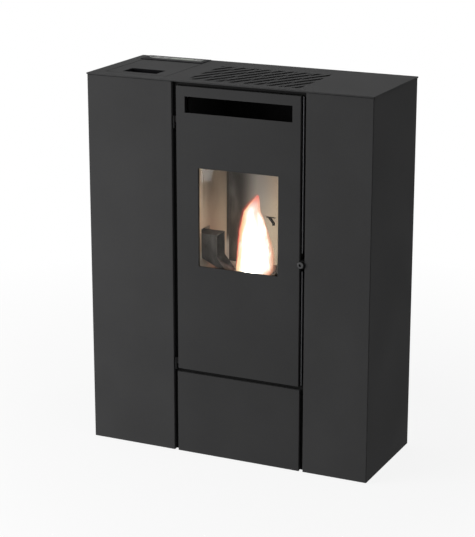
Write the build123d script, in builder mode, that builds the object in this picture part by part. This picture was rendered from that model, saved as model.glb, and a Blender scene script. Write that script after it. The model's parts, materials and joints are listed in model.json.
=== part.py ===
"""Pellet stove: steel casing, glazed fire door, hopper with auger feed, burn pot, fans and controls.

Origin at floor level under the middle of the casing, X to the right, Y to the back, Z up, millimetres.
"""

from build123d import *
import math
import os

os.makedirs("parts", exist_ok=True)

# ---- driving dimensions: casing ----
body_width = 900.0
body_depth = 350.0
body_height = 1140.0
floor_gap = 4.0             # the casing ends this far above the floor
top_thickness = 4.0
top_overhang = 2.0
shadow_gap = 1.5            # between the casing and the top plate
sheet = 1.5                 # casing sheet
bend_radius = 2.5
casing_return = 12.0        # inward fold beside the centre bay
rear_return = 20.0
bay_left = -172.5           # edges of the centre bay
bay_right = 248.5
fit = 0.3                   # play between separate pieces
plate = 2.0                 # frame and bracket steel
base_height = 12.0
base_thickness = 3.0
foot_radius = 18.0
foot_stud_radius = 5.0
foot_inset_x = 60.0
foot_inset_y = 45.0
post_width = 25.0
side_x = body_width / 2     # the casing's sides, front and back, from its middle
front_y = -body_depth / 2
back_y = body_depth / 2

# ---- driving dimensions: front ----
gap_depth = 14.5            # the black frame lies this far behind the front
frame_margin = 27.5         # the frame reaches this far behind the casing fronts
frame_web = 38.0
door_left = -158.0
door_right = 233.0
door_bottom = 268.0
door_top = body_height - 16.0
door_return = 8.0
cover_left = -160.5         # lower front cover
cover_right = 236.5
cover_top = 257.0
cover_return = 8.0
window_left = -88.5
window_right = 165.5
window_bottom = 593.0
window_top = body_height - 252.0
slot_left = -130.4          # warm air slot
slot_right = 207.5
slot_top = door_top - 29.0
slot_bottom = slot_top - 47.5
glass_thickness = 5.0
glass_lap = 8.0
glass_seal = 3.0
door_plate = 4.0
door_edge = 3.0             # the door's inner plate shows this far beside its panel
hinge_x = -166.0
hinge_y = front_y + 4.0
hinge_heights = (door_bottom + 13.0, door_top - 107.0)
knuckle_radius = 4.0
knuckle_length = 18.0
hinge_pin_radius = 2.5
pin_play = 0.05
latch_x = 238.5
latch_z = 637.0
latch_radius = 10.0
spindle_radius = 5.0

# ---- driving dimensions: top ----
grille_left = -138.0
grille_right = 215.0
grille_front = front_y + 31.0
grille_back = back_y - 80.0
grille_bridge_x = 37.5      # one of the bridges across the slots
grille_column = 62.2
grille_bridge = 4.0
grille_angle = 61.3
grille_pitch = 67.9
grille_shift = 38.3         # rise from one column of slots to the next
grille_phase = 41.0
grille_slot = 17.0
lid_left = -side_x + 40.0
lid_right = bay_left - 39.5
lid_front = front_y + 43.0
lid_back = back_y - 77.0
lid_thickness = 3.0
lid_gap = 2.0
lid_back_gap = 3.2
pull_centre_x = (lid_left + lid_right) / 2
pull_width = 110.0
pull_front = lid_front + 24.0
pull_back = pull_front + 57.0
pull_depth = 13.0
lid_gasket_thickness = 6.7
lid_axis_y = back_y - 63.0
lid_axis_z = body_height - 10.0
lid_pin_radius = 2.0
lid_arm_radius = 19.0
lid_arm_width = 5.0
bezel_left = -side_x + 27.0
bezel_right = bay_left - 40.5
bezel_front = back_y - 70.0
bezel_back = back_y - 3.0
bezel_height = 2.0
face_left = bezel_left + 25.0
face_right = bezel_right - 15.0
face_front = back_y - 49.0
face_back = back_y - 19.0
display_left = face_left + 66.0
display_right = face_right - 32.0
key_centres = {"key_left": face_left + 20.0, "key_middle": face_left + 46.0, "key_right": face_right - 15.0}
key_size = (14.0, 12.0)
power_button_centre = (bezel_left + 15.0, face_back - 6.0)
power_button_radius = 5.0

# ---- driving dimensions: firebox and feed ----
firebox_left = -130.0
firebox_right = 206.0
firebox_back = back_y - 77.0
firebox_front = front_y + 25.0
firebox_bottom = 277.0
firebox_top = body_height - 175.0
firebox_shoulder = firebox_top - 60.0
firebox_wall = 3.0
smoke_front = front_y + 65.0        # the upper box starts here
liner_left_face = -110.0
liner_right_face = 187.0
fireback_face = firebox_back - 20.0
liner_front = front_y + 50.0
hearth_height = 540.0
hearth_thickness = 8.0
pot_x = 38.0
pot_y = front_y + 121.0
pot_size = (100.0, 90.0)
pot_height = 56.0
pot_wall = 5.0
pot_rim = 6.0
chute_front = pot_y - 56.0
chute_back = pot_y - 1.0
chute_wall = 2.0
auger_y = (chute_front + chute_back) / 2
auger_start_x = lid_left + 58.0
auger_end_x = firebox_left - 31.0
auger_end_z = hearth_height + 211.0
auger_tube_radius = 30.0
auger_tube_wall = 2.0
auger_shaft_radius = 8.0
auger_flight_radius = 26.0
auger_pitch = 45.0
shaft_tail = 28.0           # the screw's shaft reaches this far behind the tube
hopper_wall = 2.0
hopper_neck = 64.0
hopper_straight = 230.0     # height of the hopper's straight walls
hopper_neck_height = 100.0  # the cone ends this far above the auger's lower end
drawer_left = -62.0
drawer_right = 138.0
drawer_front = firebox_front + 3.5
drawer_back = firebox_back - 44.0
drawer_height = 74.0
tube_radius = 14.0
tube_wall = 1.5
tube_spacing = 50.0
tube_rise = 32.0            # the tubes' middle lies this far above the firebox's shoulder
tube_count = 5

# ---- driving dimensions: fans, ducts and electrics ----
flue_x = 100.0
flue_z = 165.0
flue_radius = 40.0
flue_end = back_y + 8.0     # the spigots end this far behind the middle of the casing
flue_clearance = 15.0       # room round a spigot for the pipe that is pushed over it
spigot_length = 40.0
spigot_step = 2.0           # the shoulder that stops the pushed-on pipe
inlet_z = hearth_height - 81.0
inlet_radius = 25.0
pipe_wall = 2.0
smoke_fan_y = back_y - 155.0
smoke_fan_z = 130.0
smoke_fan_radius = 75.0
smoke_fan_width = 60.0
smoke_impeller_radius = 58.0
room_fan_x = -81.0
room_fan_y = back_y - 145.0
room_fan_z = 100.0
room_fan_radius = 60.0
room_fan_length = 82.0
room_impeller_radius = 46.0
motor_shaft_radius = 4.0
duct_wall = 2.0
smoke_duct_width = 52.0
smoke_duct_depth = 40.0
board_size = (40.0, 170.0, 220.0)
board_bottom = 300.0
board_front = front_y + 115.0
mains_x = side_x - 60.0
mains_z = 90.0

# ---- sizes that follow ----
inner_x = side_x - sheet - fit
casing_top = body_height - top_thickness - shadow_gap
plate_under = body_height - top_thickness
base_top = base_height + base_thickness
back_panel_back = back_y - sheet
back_panel_front = back_panel_back - sheet
inside_back = back_panel_front - fit
frame_y = front_y + gap_depth
frame_back_y = frame_y + plate
ring_height = 20.0
ring_bottom = plate_under - ring_height
door_plate_back = front_y + gap_depth + door_plate + 0.5
door_plate_front = door_plate_back - door_plate
door_skin_back = front_y + sheet
rim_left = door_left + sheet + fit
rim_right = door_right - sheet - fit
door_frame_right = door_right + door_edge
knob_front = -flue_end
spigot_front = flue_end - spigot_length
inlet_run_radius = inlet_radius + spigot_step
lid_under = body_height - lid_thickness
hopper_rim_height = lid_under - lid_gasket_thickness - fit
hopper_straight_bottom = hopper_rim_height - hopper_straight
auger_rise = auger_end_x - auger_start_x
auger_length = auger_rise * math.sqrt(2)
auger_start_z = auger_end_z - auger_rise
hopper_cone_bottom = auger_start_z + hopper_neck_height
tube_height = firebox_shoulder + tube_rise
pot_left = pot_x - pot_size[0] / 2
pot_right = pot_x + pot_size[0] / 2
pot_front = pot_y - pot_size[1] / 2
pot_back = pot_y + pot_size[1] / 2
board_edge = 2.0


def block(x, y, z, mode=Mode.ADD):
    """Add or cut a box given by its low and high X, Y and Z."""
    with Locations(((x[0] + x[1]) / 2, (y[0] + y[1]) / 2, (z[0] + z[1]) / 2)):
        Box(x[1] - x[0], y[1] - y[0], z[1] - z[0], mode=mode)


def rod(start, direction, radius, length, mode=Mode.ADD):
    """Add or cut a cylinder that starts at a point and runs along a direction."""
    with Locations(Plane(origin=start, z_dir=direction)):
        Cylinder(radius, length, align=(Align.CENTER, Align.CENTER, Align.MIN), mode=mode)


def prism(points, x_low, x_high, mode=Mode.ADD):
    """Add or cut a profile drawn in Y and Z and run along X."""
    with BuildSketch(Plane.YZ.offset(x_low)) as profile:
        with BuildLine():
            Polyline(*points, close=True)
        make_face()
    extrude(profile.sketch, amount=x_high - x_low, mode=mode)


def side_prism(points, y_low, y_high, mode=Mode.ADD):
    """Add or cut a profile drawn in X and Z and run along Y."""
    with BuildSketch(Plane.XZ.offset(-y_low)) as profile:
        with BuildLine():
            Polyline(*points, close=True)
        make_face()
    extrude(profile.sketch, amount=-(y_high - y_low), mode=mode)


# ---- base, feet and inner frame ----
foot_places = [(sx * (side_x - foot_inset_x), sy * (back_y - foot_inset_y))
               for sx in (-1, 1) for sy in (-1, 1)]

with BuildPart() as base_plate:
    block((-inner_x, inner_x), (frame_back_y + fit, inside_back), (base_height, base_top))
    for x, y in foot_places:
        rod((x, y, 0), (0, 0, 1), foot_stud_radius + fit, base_top + 1, Mode.SUBTRACT)
base_plate.part.label = "base_plate"

foot_pad = 6.0
foot_nut = 16.0
foot_stud_rise = 17.0

with BuildPart() as levelling_feet:
    for x, y in foot_places:
        rod((x, y, 0), (0, 0, 1), foot_radius, foot_pad)
        with BuildSketch(Plane.XY.offset(foot_pad)):
            with Locations((x, y)):
                RegularPolygon(foot_nut / 2, 6, major_radius=False)
        extrude(amount=base_height - foot_pad)
        rod((x, y, 0), (0, 0, 1), foot_stud_radius, base_top + foot_stud_rise)
levelling_feet.part.label = "levelling_feet"

frame_left = bay_left - frame_margin
frame_right = bay_right + frame_margin
door_play = 2.0
frame_rail = 12.0
cover_hole = 20.0
latch_notch_low = latch_z - 25.0
latch_notch_high = latch_z + 43.0
keeper_thickness = 2.5
keeper_inset = 1.5
keeper_room = 4.0
keeper_half = 16.0
cam_arm = 23.5
cam_thickness = 4.0

with BuildPart() as front_frame:
    block((frame_left, frame_right), (frame_y, frame_back_y), (floor_gap, plate_under - plate))
    block((door_left + 1, door_frame_right + door_play), (frame_y, frame_back_y),
          (door_bottom - door_play, door_top + door_play), Mode.SUBTRACT)
    block((cover_left + cover_hole, cover_right - cover_hole), (frame_y, frame_back_y),
          (base_top + cover_hole, cover_top - frame_rail), Mode.SUBTRACT)
    block((door_right, bay_right - 1), (frame_y, frame_back_y), (latch_notch_low, latch_notch_high),
          Mode.SUBTRACT)
    for x in (frame_left, frame_right - plate):
        block((x, x + plate), (frame_back_y, frame_back_y + frame_web), (base_top, ring_bottom))
    block((bay_right + keeper_inset, latch_x + cam_arm + keeper_room),
          (frame_back_y, frame_back_y + keeper_thickness), (latch_z - keeper_half, latch_z + keeper_half))
front_frame.part.label = "front_frame"

ring_flange = 12.0
ring_front = door_plate_back + fit

with BuildPart() as chassis_frame:
    block((-inner_x, inner_x), (ring_front, inside_back), (ring_bottom, plate_under))
    block((-inner_x + plate, inner_x - plate), (ring_front + plate, inside_back - plate),
          (ring_bottom, plate_under - plate), Mode.SUBTRACT)
    block((-inner_x + ring_flange, inner_x - ring_flange),
          (ring_front + ring_flange, inside_back - 2 * plate),
          (plate_under - plate, plate_under), Mode.SUBTRACT)
    block((bezel_left, bezel_right + plate), (bezel_front, inside_back - plate),
          (plate_under - plate, plate_under), Mode.SUBTRACT)
    block((lid_left - 6 * plate, lid_right + 2 * plate), (lid_front - 5 * plate, bezel_back - plate),
          (plate_under - plate, plate_under), Mode.SUBTRACT)
    for s in (-1, 1):
        outer = s * inner_x
        inner = s * (inner_x - post_width)
        web = s * (inner_x - plate)
        block((min(outer, inner), max(outer, inner)), (inside_back - plate, inside_back),
              (base_top, ring_bottom))
        block((min(outer, web), max(outer, web)), (inside_back - post_width, inside_back),
              (base_top, ring_bottom))
chassis_frame.part.label = "chassis_frame"

# ---- casing ----
for side in (-1, 1):
    bay_edge = bay_left if side < 0 else bay_right
    with BuildPart() as casing:
        with BuildSketch(Plane.XY.offset(floor_gap)):
            with BuildLine():
                FilletPolyline((bay_edge, front_y + casing_return), (bay_edge, front_y),
                               (side * side_x, front_y),
                               (side * side_x, back_y), (side * (side_x - rear_return), back_y),
                               radius=bend_radius)
                offset(amount=sheet, side=Side.RIGHT if side < 0 else Side.LEFT)
            make_face()
        extrude(amount=casing_top - floor_gap)
    if side < 0:
        left_casing = casing
    else:
        right_casing = casing
left_casing.part.label = "left_casing"
right_casing.part.label = "right_casing"

mains_hole = (48.0, 28.0)
louvre_count = 6
louvre_length = 90.0
louvre_width = 5.0
louvre_pitch = 14.0
louvre_offset = 55.0        # each column's middle from the fan's middle
rear_bottom = base_height - 2.0

with BuildPart() as back_panel:
    block((-inner_x + bend_radius - sheet, inner_x - bend_radius + sheet),
          (back_panel_front, back_panel_back),
          (rear_bottom, casing_top))
    rod((flue_x, back_panel_front - 1, flue_z), (0, 1, 0), flue_radius + flue_clearance, sheet + 2,
        Mode.SUBTRACT)
    rod((pot_x, back_panel_front - 1, inlet_z), (0, 1, 0), inlet_radius + flue_clearance, sheet + 2,
        Mode.SUBTRACT)
    block((mains_x - mains_hole[0] / 2, mains_x + mains_hole[0] / 2), (back_panel_front - 1, back_y),
          (mains_z - mains_hole[1] / 2, mains_z + mains_hole[1] / 2), Mode.SUBTRACT)
    for i in range(louvre_count):
        z = room_fan_z + (i - (louvre_count - 1) / 2) * louvre_pitch
        for x in (room_fan_x - louvre_offset, room_fan_x + louvre_offset):
            block((x - louvre_length / 2, x + louvre_length / 2), (back_panel_front - 1, back_y),
                  (z - louvre_width / 2, z + louvre_width / 2), Mode.SUBTRACT)
back_panel.part.label = "back_panel"

bezel_body_left = bezel_left + 3.0
bezel_body_right = bezel_right - 3.0
bezel_body_front = face_front - 4.0
bezel_body_back = bezel_back - 4.0

with BuildPart() as top_plate:
    block((-side_x - top_overhang, side_x + top_overhang), (front_y - top_overhang, back_y + top_overhang),
          (plate_under, body_height))
    fillet(top_plate.edges().filter_by(Axis.Z), radius=bend_radius)
    block((lid_left - lid_gap, lid_right + lid_gap), (lid_front - lid_gap, lid_back + lid_back_gap),
          (plate_under, body_height), Mode.SUBTRACT)
    block((bezel_body_left - fit, bezel_body_right + fit), (bezel_body_front - fit, bezel_body_back + fit),
          (plate_under, body_height), Mode.SUBTRACT)
    with BuildSketch(Plane.XY.offset(plate_under)):
        first = math.floor((grille_left - grille_bridge_x) / grille_column)
        last = math.ceil((grille_right - grille_bridge_x) / grille_column)
        rise = math.tan(math.radians(grille_angle))
        half_slot = grille_slot / 2 / math.cos(math.radians(grille_angle))
        for column in range(first, last):
            low_x = max(grille_bridge_x + column * grille_column + grille_bridge / 2, grille_left)
            high_x = min(grille_bridge_x + (column + 1) * grille_column - grille_bridge / 2, grille_right)
            middle_x = grille_bridge_x + (column + 0.5) * grille_column
            for row in range(-8, 9):
                middle_y = grille_phase + column * grille_shift + row * grille_pitch
                low_y = middle_y + (low_x - middle_x) * rise
                high_y = middle_y + (high_x - middle_x) * rise
                if high_x - low_x > grille_slot and high_y > grille_front and low_y < grille_back:
                    with BuildLine():
                        Polyline((low_x, low_y - half_slot), (high_x, high_y - half_slot),
                                 (high_x, high_y + half_slot), (low_x, low_y + half_slot), close=True)
                    make_face()
        with Locations(((grille_left + grille_right) / 2, (grille_front + grille_back) / 2)):
            Rectangle(grille_right - grille_left, grille_back - grille_front, mode=Mode.INTERSECT)
    extrude(amount=top_thickness, mode=Mode.SUBTRACT)
top_plate.part.label = "top_plate"

# ---- hopper lid, its pull and hinge ----
pull_left = pull_centre_x - pull_width / 2
pull_right = pull_centre_x + pull_width / 2

with BuildPart() as hopper_lid:
    block((lid_left, lid_right), (lid_front, lid_back), (lid_under, body_height))
    fillet(hopper_lid.edges().filter_by(Axis.Z), radius=bend_radius)
    block((pull_left - sheet - fit, pull_right + sheet + fit),
          (pull_front - sheet - fit, pull_back + sheet + fit),
          (lid_under, body_height), Mode.SUBTRACT)
hopper_lid.part.label = "hopper_lid"

pull_floor = body_height - pull_depth
pull_slope = 45.0
pull_lip = 3.0

with BuildPart() as lid_pull:
    block((pull_left - sheet, pull_right + sheet), (pull_front - sheet, pull_back + sheet),
          (pull_floor - sheet, body_height))
    prism([(pull_front, body_height), (pull_front, body_height - pull_lip),
           (pull_front + pull_slope, pull_floor),
           (pull_back, pull_floor), (pull_back, body_height)], pull_left, pull_right, Mode.SUBTRACT)
lid_pull.part.label = "lid_pull"

gasket_width = 8.0
gasket_lap = 1.0            # the gasket reaches this far past the hopper's mouth
mouth_left = lid_left + 4.0
mouth_right = lid_right - 4.0
mouth_front = lid_front + 10.0
mouth_back = lid_back - 20.0
gasket_hole_inset = gasket_width - gasket_lap

with BuildPart() as lid_gasket:
    block((mouth_left - gasket_lap, mouth_right + gasket_lap),
          (mouth_front - gasket_lap, mouth_back + gasket_lap),
          (hopper_rim_height + fit, lid_under))
    block((mouth_left + gasket_hole_inset, mouth_right - gasket_hole_inset),
          (mouth_front + gasket_hole_inset, mouth_back - gasket_hole_inset),
          (hopper_rim_height + fit, lid_under), Mode.SUBTRACT)
lid_gasket.part.label = "lid_gasket"

lid_arm_inset = 25.0
lid_arm_places = (lid_left + lid_arm_inset, lid_right - lid_arm_inset)
lid_arm_thickness = 5.0
lid_arm_pad = 15.0
arm_inner = lid_arm_radius - lid_arm_width / 2
arm_outer = lid_arm_radius + lid_arm_width / 2
lid_eye_radius = 4.5
arm_low_angle = 165.0
arm_high_angle = 262.0
arm_sweep = arm_high_angle - arm_low_angle

with BuildPart() as lid_hinge_arms:
    for x in lid_arm_places:
        with BuildSketch(Plane.YZ.offset(x - lid_arm_thickness / 2)):
            with Locations((lid_axis_y, lid_axis_z)):
                Circle(lid_eye_radius)
                with Locations(Rotation(0, 0, arm_high_angle - 8)):
                    Rectangle(lid_arm_radius, lid_arm_width, align=(Align.MIN, Align.CENTER))
            with BuildLine():
                inner_arc = CenterArc((lid_axis_y, lid_axis_z), arm_inner, arm_low_angle, arm_sweep)
                outer_arc = CenterArc((lid_axis_y, lid_axis_z), arm_outer, arm_low_angle, arm_sweep)
                Line(inner_arc @ 0, outer_arc @ 0)
                Line(inner_arc @ 1, outer_arc @ 1)
            make_face()
            with Locations((lid_axis_y - arm_inner - 6, (lid_axis_z + 2 + lid_under) / 2)):
                Rectangle(lid_arm_pad, lid_under - lid_axis_z - 2)
            with Locations((lid_axis_y, lid_axis_z)):
                Circle(lid_pin_radius + pin_play, mode=Mode.SUBTRACT)
        extrude(amount=lid_arm_thickness)
lid_hinge_arms.part.label = "lid_hinge_arms"

ear_gap = 1.0
ear_thickness = 2.5
ear_width = 10.0
bracket_roof = 1.0

with BuildPart() as lid_hinge_brackets:
    for x in lid_arm_places:
        reach = lid_arm_thickness / 2 + ear_gap + ear_thickness
        block((x - reach, x + reach), (lid_axis_y - ear_width / 2, lid_axis_y + ear_width / 2),
              (lid_axis_z - ear_width / 2, plate_under))
        block((x - reach + ear_thickness, x + reach - ear_thickness),
              (lid_axis_y - ear_width / 2, lid_axis_y + ear_width / 2),
              (lid_axis_z - ear_width / 2, plate_under - bracket_roof), Mode.SUBTRACT)
        rod((x - reach, lid_axis_y, lid_axis_z), (1, 0, 0), lid_pin_radius, 2 * reach)
lid_hinge_brackets.part.label = "lid_hinge_brackets"

# ---- control panel ----
bezel_depth = 22.0
bezel_wall = 2.0
bezel_floor = 1.0
bezel_top = body_height + bezel_height
bezel_under = body_height - bezel_floor
key_collar = 1.7
key_hole_play = 0.4
face_thickness = 1.0
key_rise = 1.2
key_top = bezel_top + face_thickness + key_rise
key_low = body_height - 4.0
key_collar_top = bezel_under - fit
key_edge = 0.8
power_x, power_y = power_button_centre
key_y = (face_front + face_back) / 2

with BuildPart() as control_bezel:
    block((bezel_left, bezel_right), (bezel_front, bezel_back), (body_height, bezel_top))
    fillet(control_bezel.edges().filter_by(Axis.Z), radius=bend_radius)
    block((bezel_body_left, bezel_body_right), (bezel_body_front, bezel_body_back),
          (body_height - bezel_depth, body_height))
    block((bezel_body_left + bezel_wall, bezel_body_right - bezel_wall),
          (bezel_body_front + bezel_wall, bezel_body_back - bezel_wall),
          (body_height - bezel_depth, bezel_under), Mode.SUBTRACT)
    for x in key_centres.values():
        block((x - key_size[0] / 2 - key_hole_play, x + key_size[0] / 2 + key_hole_play),
              (key_y - key_size[1] / 2 - key_hole_play, key_y + key_size[1] / 2 + key_hole_play),
              (bezel_under, bezel_top), Mode.SUBTRACT)
    rod((power_x, power_y, bezel_under), (0, 0, 1), power_button_radius + key_hole_play,
        bezel_top - bezel_under,
        Mode.SUBTRACT)
control_bezel.part.label = "control_bezel"

display_inset = 4.0
display_rise = 0.4
power_button_edge = 1.0
power_button_collar = 1.5
face_corner = 2.0

with BuildPart() as control_face:
    block((face_left, face_right), (face_front, face_back), (bezel_top, bezel_top + face_thickness))
    fillet(control_face.edges().filter_by(Axis.Z), radius=face_corner)
    for x in key_centres.values():
        block((x - key_size[0] / 2 - key_hole_play, x + key_size[0] / 2 + key_hole_play),
              (key_y - key_size[1] / 2 - key_hole_play, key_y + key_size[1] / 2 + key_hole_play),
              (bezel_top, bezel_top + face_thickness), Mode.SUBTRACT)
    block((display_left - fit, display_right + fit),
          (face_front + display_inset - fit, face_back - display_inset + fit),
          (bezel_top, bezel_top + face_thickness), Mode.SUBTRACT)
control_face.part.label = "control_face"

with BuildPart() as display_window:
    block((display_left, display_right), (face_front + display_inset, face_back - display_inset),
          (bezel_top, bezel_top + face_thickness + display_rise))
display_window.part.label = "display_window"

keys = []
for name, x in key_centres.items():
    with BuildPart() as key:
        block((x - key_size[0] / 2, x + key_size[0] / 2), (key_y - key_size[1] / 2, key_y + key_size[1] / 2),
              (key_low, key_top))
        fillet(key.faces().sort_by(Axis.Z)[-1].edges(), radius=key_edge)
        block((x - key_size[0] / 2 - key_collar, x + key_size[0] / 2 + key_collar),
              (key_y - key_size[1] / 2 - key_collar, key_y + key_size[1] / 2 + key_collar),
              (key_low, key_collar_top))
    key.part.label = name
    keys.append(key)

with BuildPart() as power_button:
    rod((power_x, power_y, key_low), (0, 0, 1), power_button_radius, key_top - key_low)
    fillet(power_button.faces().sort_by(Axis.Z)[-1].edges(), radius=power_button_edge)
    rod((power_x, power_y, key_low), (0, 0, 1), power_button_radius + power_button_collar,
        key_collar_top - key_low)
power_button.part.label = "power_button"

# ---- lower front cover ----
clip_radius = 4.0
clip_inset = 10.0

with BuildPart() as lower_front_cover:
    block((cover_left, cover_right), (front_y, front_y + cover_return), (floor_gap, cover_top))
    fillet(lower_front_cover.edges().filter_by(Axis.Z).group_by(Axis.Y)[0], radius=bend_radius / 2)
    block((cover_left + sheet, cover_right - sheet), (front_y + sheet, front_y + cover_return),
          (floor_gap + sheet, cover_top - sheet), Mode.SUBTRACT)
    for x in (cover_left + clip_inset, cover_right - clip_inset):
        for z in (base_top + clip_inset, cover_top - clip_inset / 2 - clip_radius):
            rod((x, front_y + sheet, z), (0, 1, 0), clip_radius, gap_depth - sheet)
lower_front_cover.part.label = "lower_front_cover"

# ---- fire door ----
hinge_notch = knuckle_length + 3.0
lug_height = 24.0
lug_reach = 2.5             # the latch lug's wall beyond the spindle hole

with BuildPart() as door_panel:
    block((door_left, door_right), (front_y, front_y + door_return), (door_bottom, door_top))
    fillet(door_panel.edges().filter_by(Axis.Z).group_by(Axis.Y)[0], radius=bend_radius / 2)
    block((door_left + sheet, door_right - sheet), (door_skin_back, front_y + door_return),
          (door_bottom + sheet, door_top - sheet), Mode.SUBTRACT)
    block((window_left, window_right), (front_y, door_skin_back), (window_bottom, window_top), Mode.SUBTRACT)
    block((slot_left, slot_right), (front_y, door_skin_back), (slot_bottom, slot_top), Mode.SUBTRACT)
    for z in hinge_heights:
        low_z = max(z - hinge_notch, door_bottom)
        block((door_left, door_left + sheet), (door_skin_back, front_y + door_return),
              (low_z, z + hinge_notch),
              Mode.SUBTRACT)
    block((door_right - sheet, door_right), (door_skin_back, front_y + door_return),
          (latch_z - lug_height / 2 - fit, latch_z + lug_height / 2 + fit), Mode.SUBTRACT)
door_panel.part.label = "door_panel"

frame_rim = 2.7
spindle_play = 0.05
window_room = 4.5
slot_room = (4.0, 7.0)

with BuildPart() as door_frame:
    block((door_left + 2, door_frame_right), (door_plate_front, door_plate_back), (door_bottom, door_top))
    block((rim_left, rim_right), (door_skin_back, door_plate_front),
          (door_bottom + sheet + fit, door_top - sheet - fit))
    block((rim_left + frame_rim, rim_right - frame_rim), (door_skin_back, door_plate_front),
          (door_bottom + sheet + fit + frame_rim, door_top - sheet - fit - frame_rim), Mode.SUBTRACT)
    block((rim_right - frame_rim, latch_x + spindle_radius + lug_reach),
          (door_skin_back + 0.5, door_plate_back),
          (latch_z - lug_height / 2, latch_z + lug_height / 2))
    rod((latch_x, front_y - 1, latch_z), (0, 1, 0), spindle_radius + spindle_play, gap_depth + 8,
        Mode.SUBTRACT)
    block((window_left - window_room, window_right + window_room), (door_plate_front, door_plate_back),
          (window_bottom - window_room, window_top + window_room), Mode.SUBTRACT)
    block((slot_left - slot_room[0], slot_right + slot_room[0]), (door_plate_front, door_plate_back),
          (slot_bottom - slot_room[1], slot_top + slot_room[1]), Mode.SUBTRACT)
    for z in hinge_heights:
        rod((hinge_x, hinge_y, z + fit), (0, 0, 1), knuckle_radius, knuckle_length)
        block((hinge_x, rim_left + frame_rim), (hinge_y - 2, hinge_y + 2),
              (z + fit, z + fit + knuckle_length))
        rod((hinge_x, hinge_y, z), (0, 0, 1), hinge_pin_radius + pin_play, knuckle_length + 1, Mode.SUBTRACT)
door_frame.part.label = "door_frame"

with BuildPart() as door_hinge_pins:
    for z in hinge_heights:
        rod((hinge_x, hinge_y, z - knuckle_length), (0, 0, 1), knuckle_radius, knuckle_length)
        block((hinge_x - knuckle_radius, hinge_x + 2), (hinge_y, frame_y), (z - knuckle_length, z))
        rod((hinge_x, hinge_y, z - knuckle_length), (0, 0, 1), hinge_pin_radius, 2 * knuckle_length)
door_hinge_pins.part.label = "door_hinge_pins"

glass_left = window_left - glass_lap
glass_right = window_right + glass_lap
glass_bottom = window_bottom - glass_lap
glass_top = window_top + glass_lap
glass_back = door_plate_front - glass_seal
glass_front = glass_back - glass_thickness

with BuildPart() as door_glass:
    block((glass_left, glass_right), (glass_front, glass_back), (glass_bottom, glass_top))
door_glass.part.label = "door_glass"

seal_inset = 3.0

with BuildPart() as glass_seal_strip:
    block((glass_left, glass_right), (glass_back, door_plate_front), (glass_bottom, glass_top))
    block((glass_left + seal_inset, glass_right - seal_inset), (glass_back, door_plate_front),
          (glass_bottom + seal_inset, glass_top - seal_inset), Mode.SUBTRACT)
glass_seal_strip.part.label = "glass_seal"

clip_lap = 5.0
clip_foot = 12.0
clip_width = 24.0
clip_thickness = 1.5
clip_end = 60.0
clip_heights = (glass_bottom + clip_end, glass_top - clip_end)

with BuildPart() as glass_clips:
    for z in clip_heights:
        for edge, s in ((glass_left, -1), (glass_right, 1)):
            lap_x = edge - s * clip_lap
            foot_x = edge + s * clip_foot
            near_x = edge + s * fit
            block((min(lap_x, foot_x), max(lap_x, foot_x)), (glass_front - clip_thickness, glass_front),
                  (z - clip_width / 2, z + clip_width / 2))
            block((min(near_x, foot_x), max(near_x, foot_x)), (glass_front, door_plate_front),
                  (z - clip_width / 2, z + clip_width / 2))
glass_clips.part.label = "glass_clips"

rope_left = -125.0
rope_right = 202.0
rope_bottom = door_bottom + 4.0
rope_top = firebox_shoulder - 1.0
rope_width = 10.0

with BuildPart() as door_rope_seal:
    block((rope_left, rope_right), (door_plate_back, firebox_front - fit), (rope_bottom, rope_top))
    fillet(door_rope_seal.edges().filter_by(Axis.Y), radius=rope_width)
    block((rope_left + rope_width, rope_right - rope_width), (door_plate_back, firebox_front - fit),
          (rope_bottom + rope_width, rope_top - rope_width), Mode.SUBTRACT)
door_rope_seal.part.label = "door_rope_seal"

knob_length = 7.0
knob_socket = 4.0
knob_socket_depth = 5.0
knob_edge = 1.5
cam_front = frame_back_y + keeper_thickness + fit
cam_back = cam_front + cam_thickness

with BuildPart() as latch_knob:
    rod((latch_x, knob_front, latch_z), (0, 1, 0), latch_radius, knob_length)
    fillet(latch_knob.edges().group_by(Axis.Y)[0], radius=knob_edge)
    with BuildSketch(Plane.XZ.offset(-knob_front)):
        with Locations((latch_x, latch_z)):
            RegularPolygon(knob_socket, 6, major_radius=False)
    extrude(amount=-knob_socket_depth, mode=Mode.SUBTRACT)
    rod((latch_x, knob_front + knob_length, latch_z), (0, 1, 0), spindle_radius,
        cam_front - knob_front - knob_length)
latch_knob.part.label = "latch_knob"

cam_hub = 7.0
cam_half = 6.0

with BuildPart() as latch_cam:
    rod((latch_x, cam_front, latch_z), (0, 1, 0), cam_hub, cam_thickness)
    block((latch_x, latch_x + cam_arm), (cam_front, cam_back), (latch_z - cam_half, latch_z + cam_half))
    fillet(latch_cam.edges().filter_by(Axis.Y).group_by(Axis.X)[-1], radius=cam_half / 2)
latch_cam.part.label = "latch_cam"

# ---- firebox ----
wall = firebox_wall
flange = 16.0
flange_drop = 4.0
opening_left = liner_left_face - 2
opening_right = liner_right_face + 2
opening_bottom = firebox_bottom + 7.0
opening_top = firebox_shoulder - 12.0
chute_hole_low = hearth_height + 59.0
chute_hole_high = hearth_height + 152.0
chute_board_high = chute_hole_high - 4.0
smoke_hole_left = firebox_right - 30.0
smoke_hole_right = firebox_right - 8.0
smoke_hole_bottom = firebox_shoulder + 13.0
smoke_hole_top = firebox_top - 10.0
tube_places = [flue_x + (i - (tube_count - 1)) * tube_spacing for i in range(tube_count)]
tube_play = 0.1
runner_top = opening_bottom + 1.7       # the drawer slides just above the opening's edge
runner_inset = 8.0
runner_width = 10.0
lug = 8.0
lug_inset = 5.0
igniter_radius = 5.0
igniter_z = hearth_height - 25.0

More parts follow.
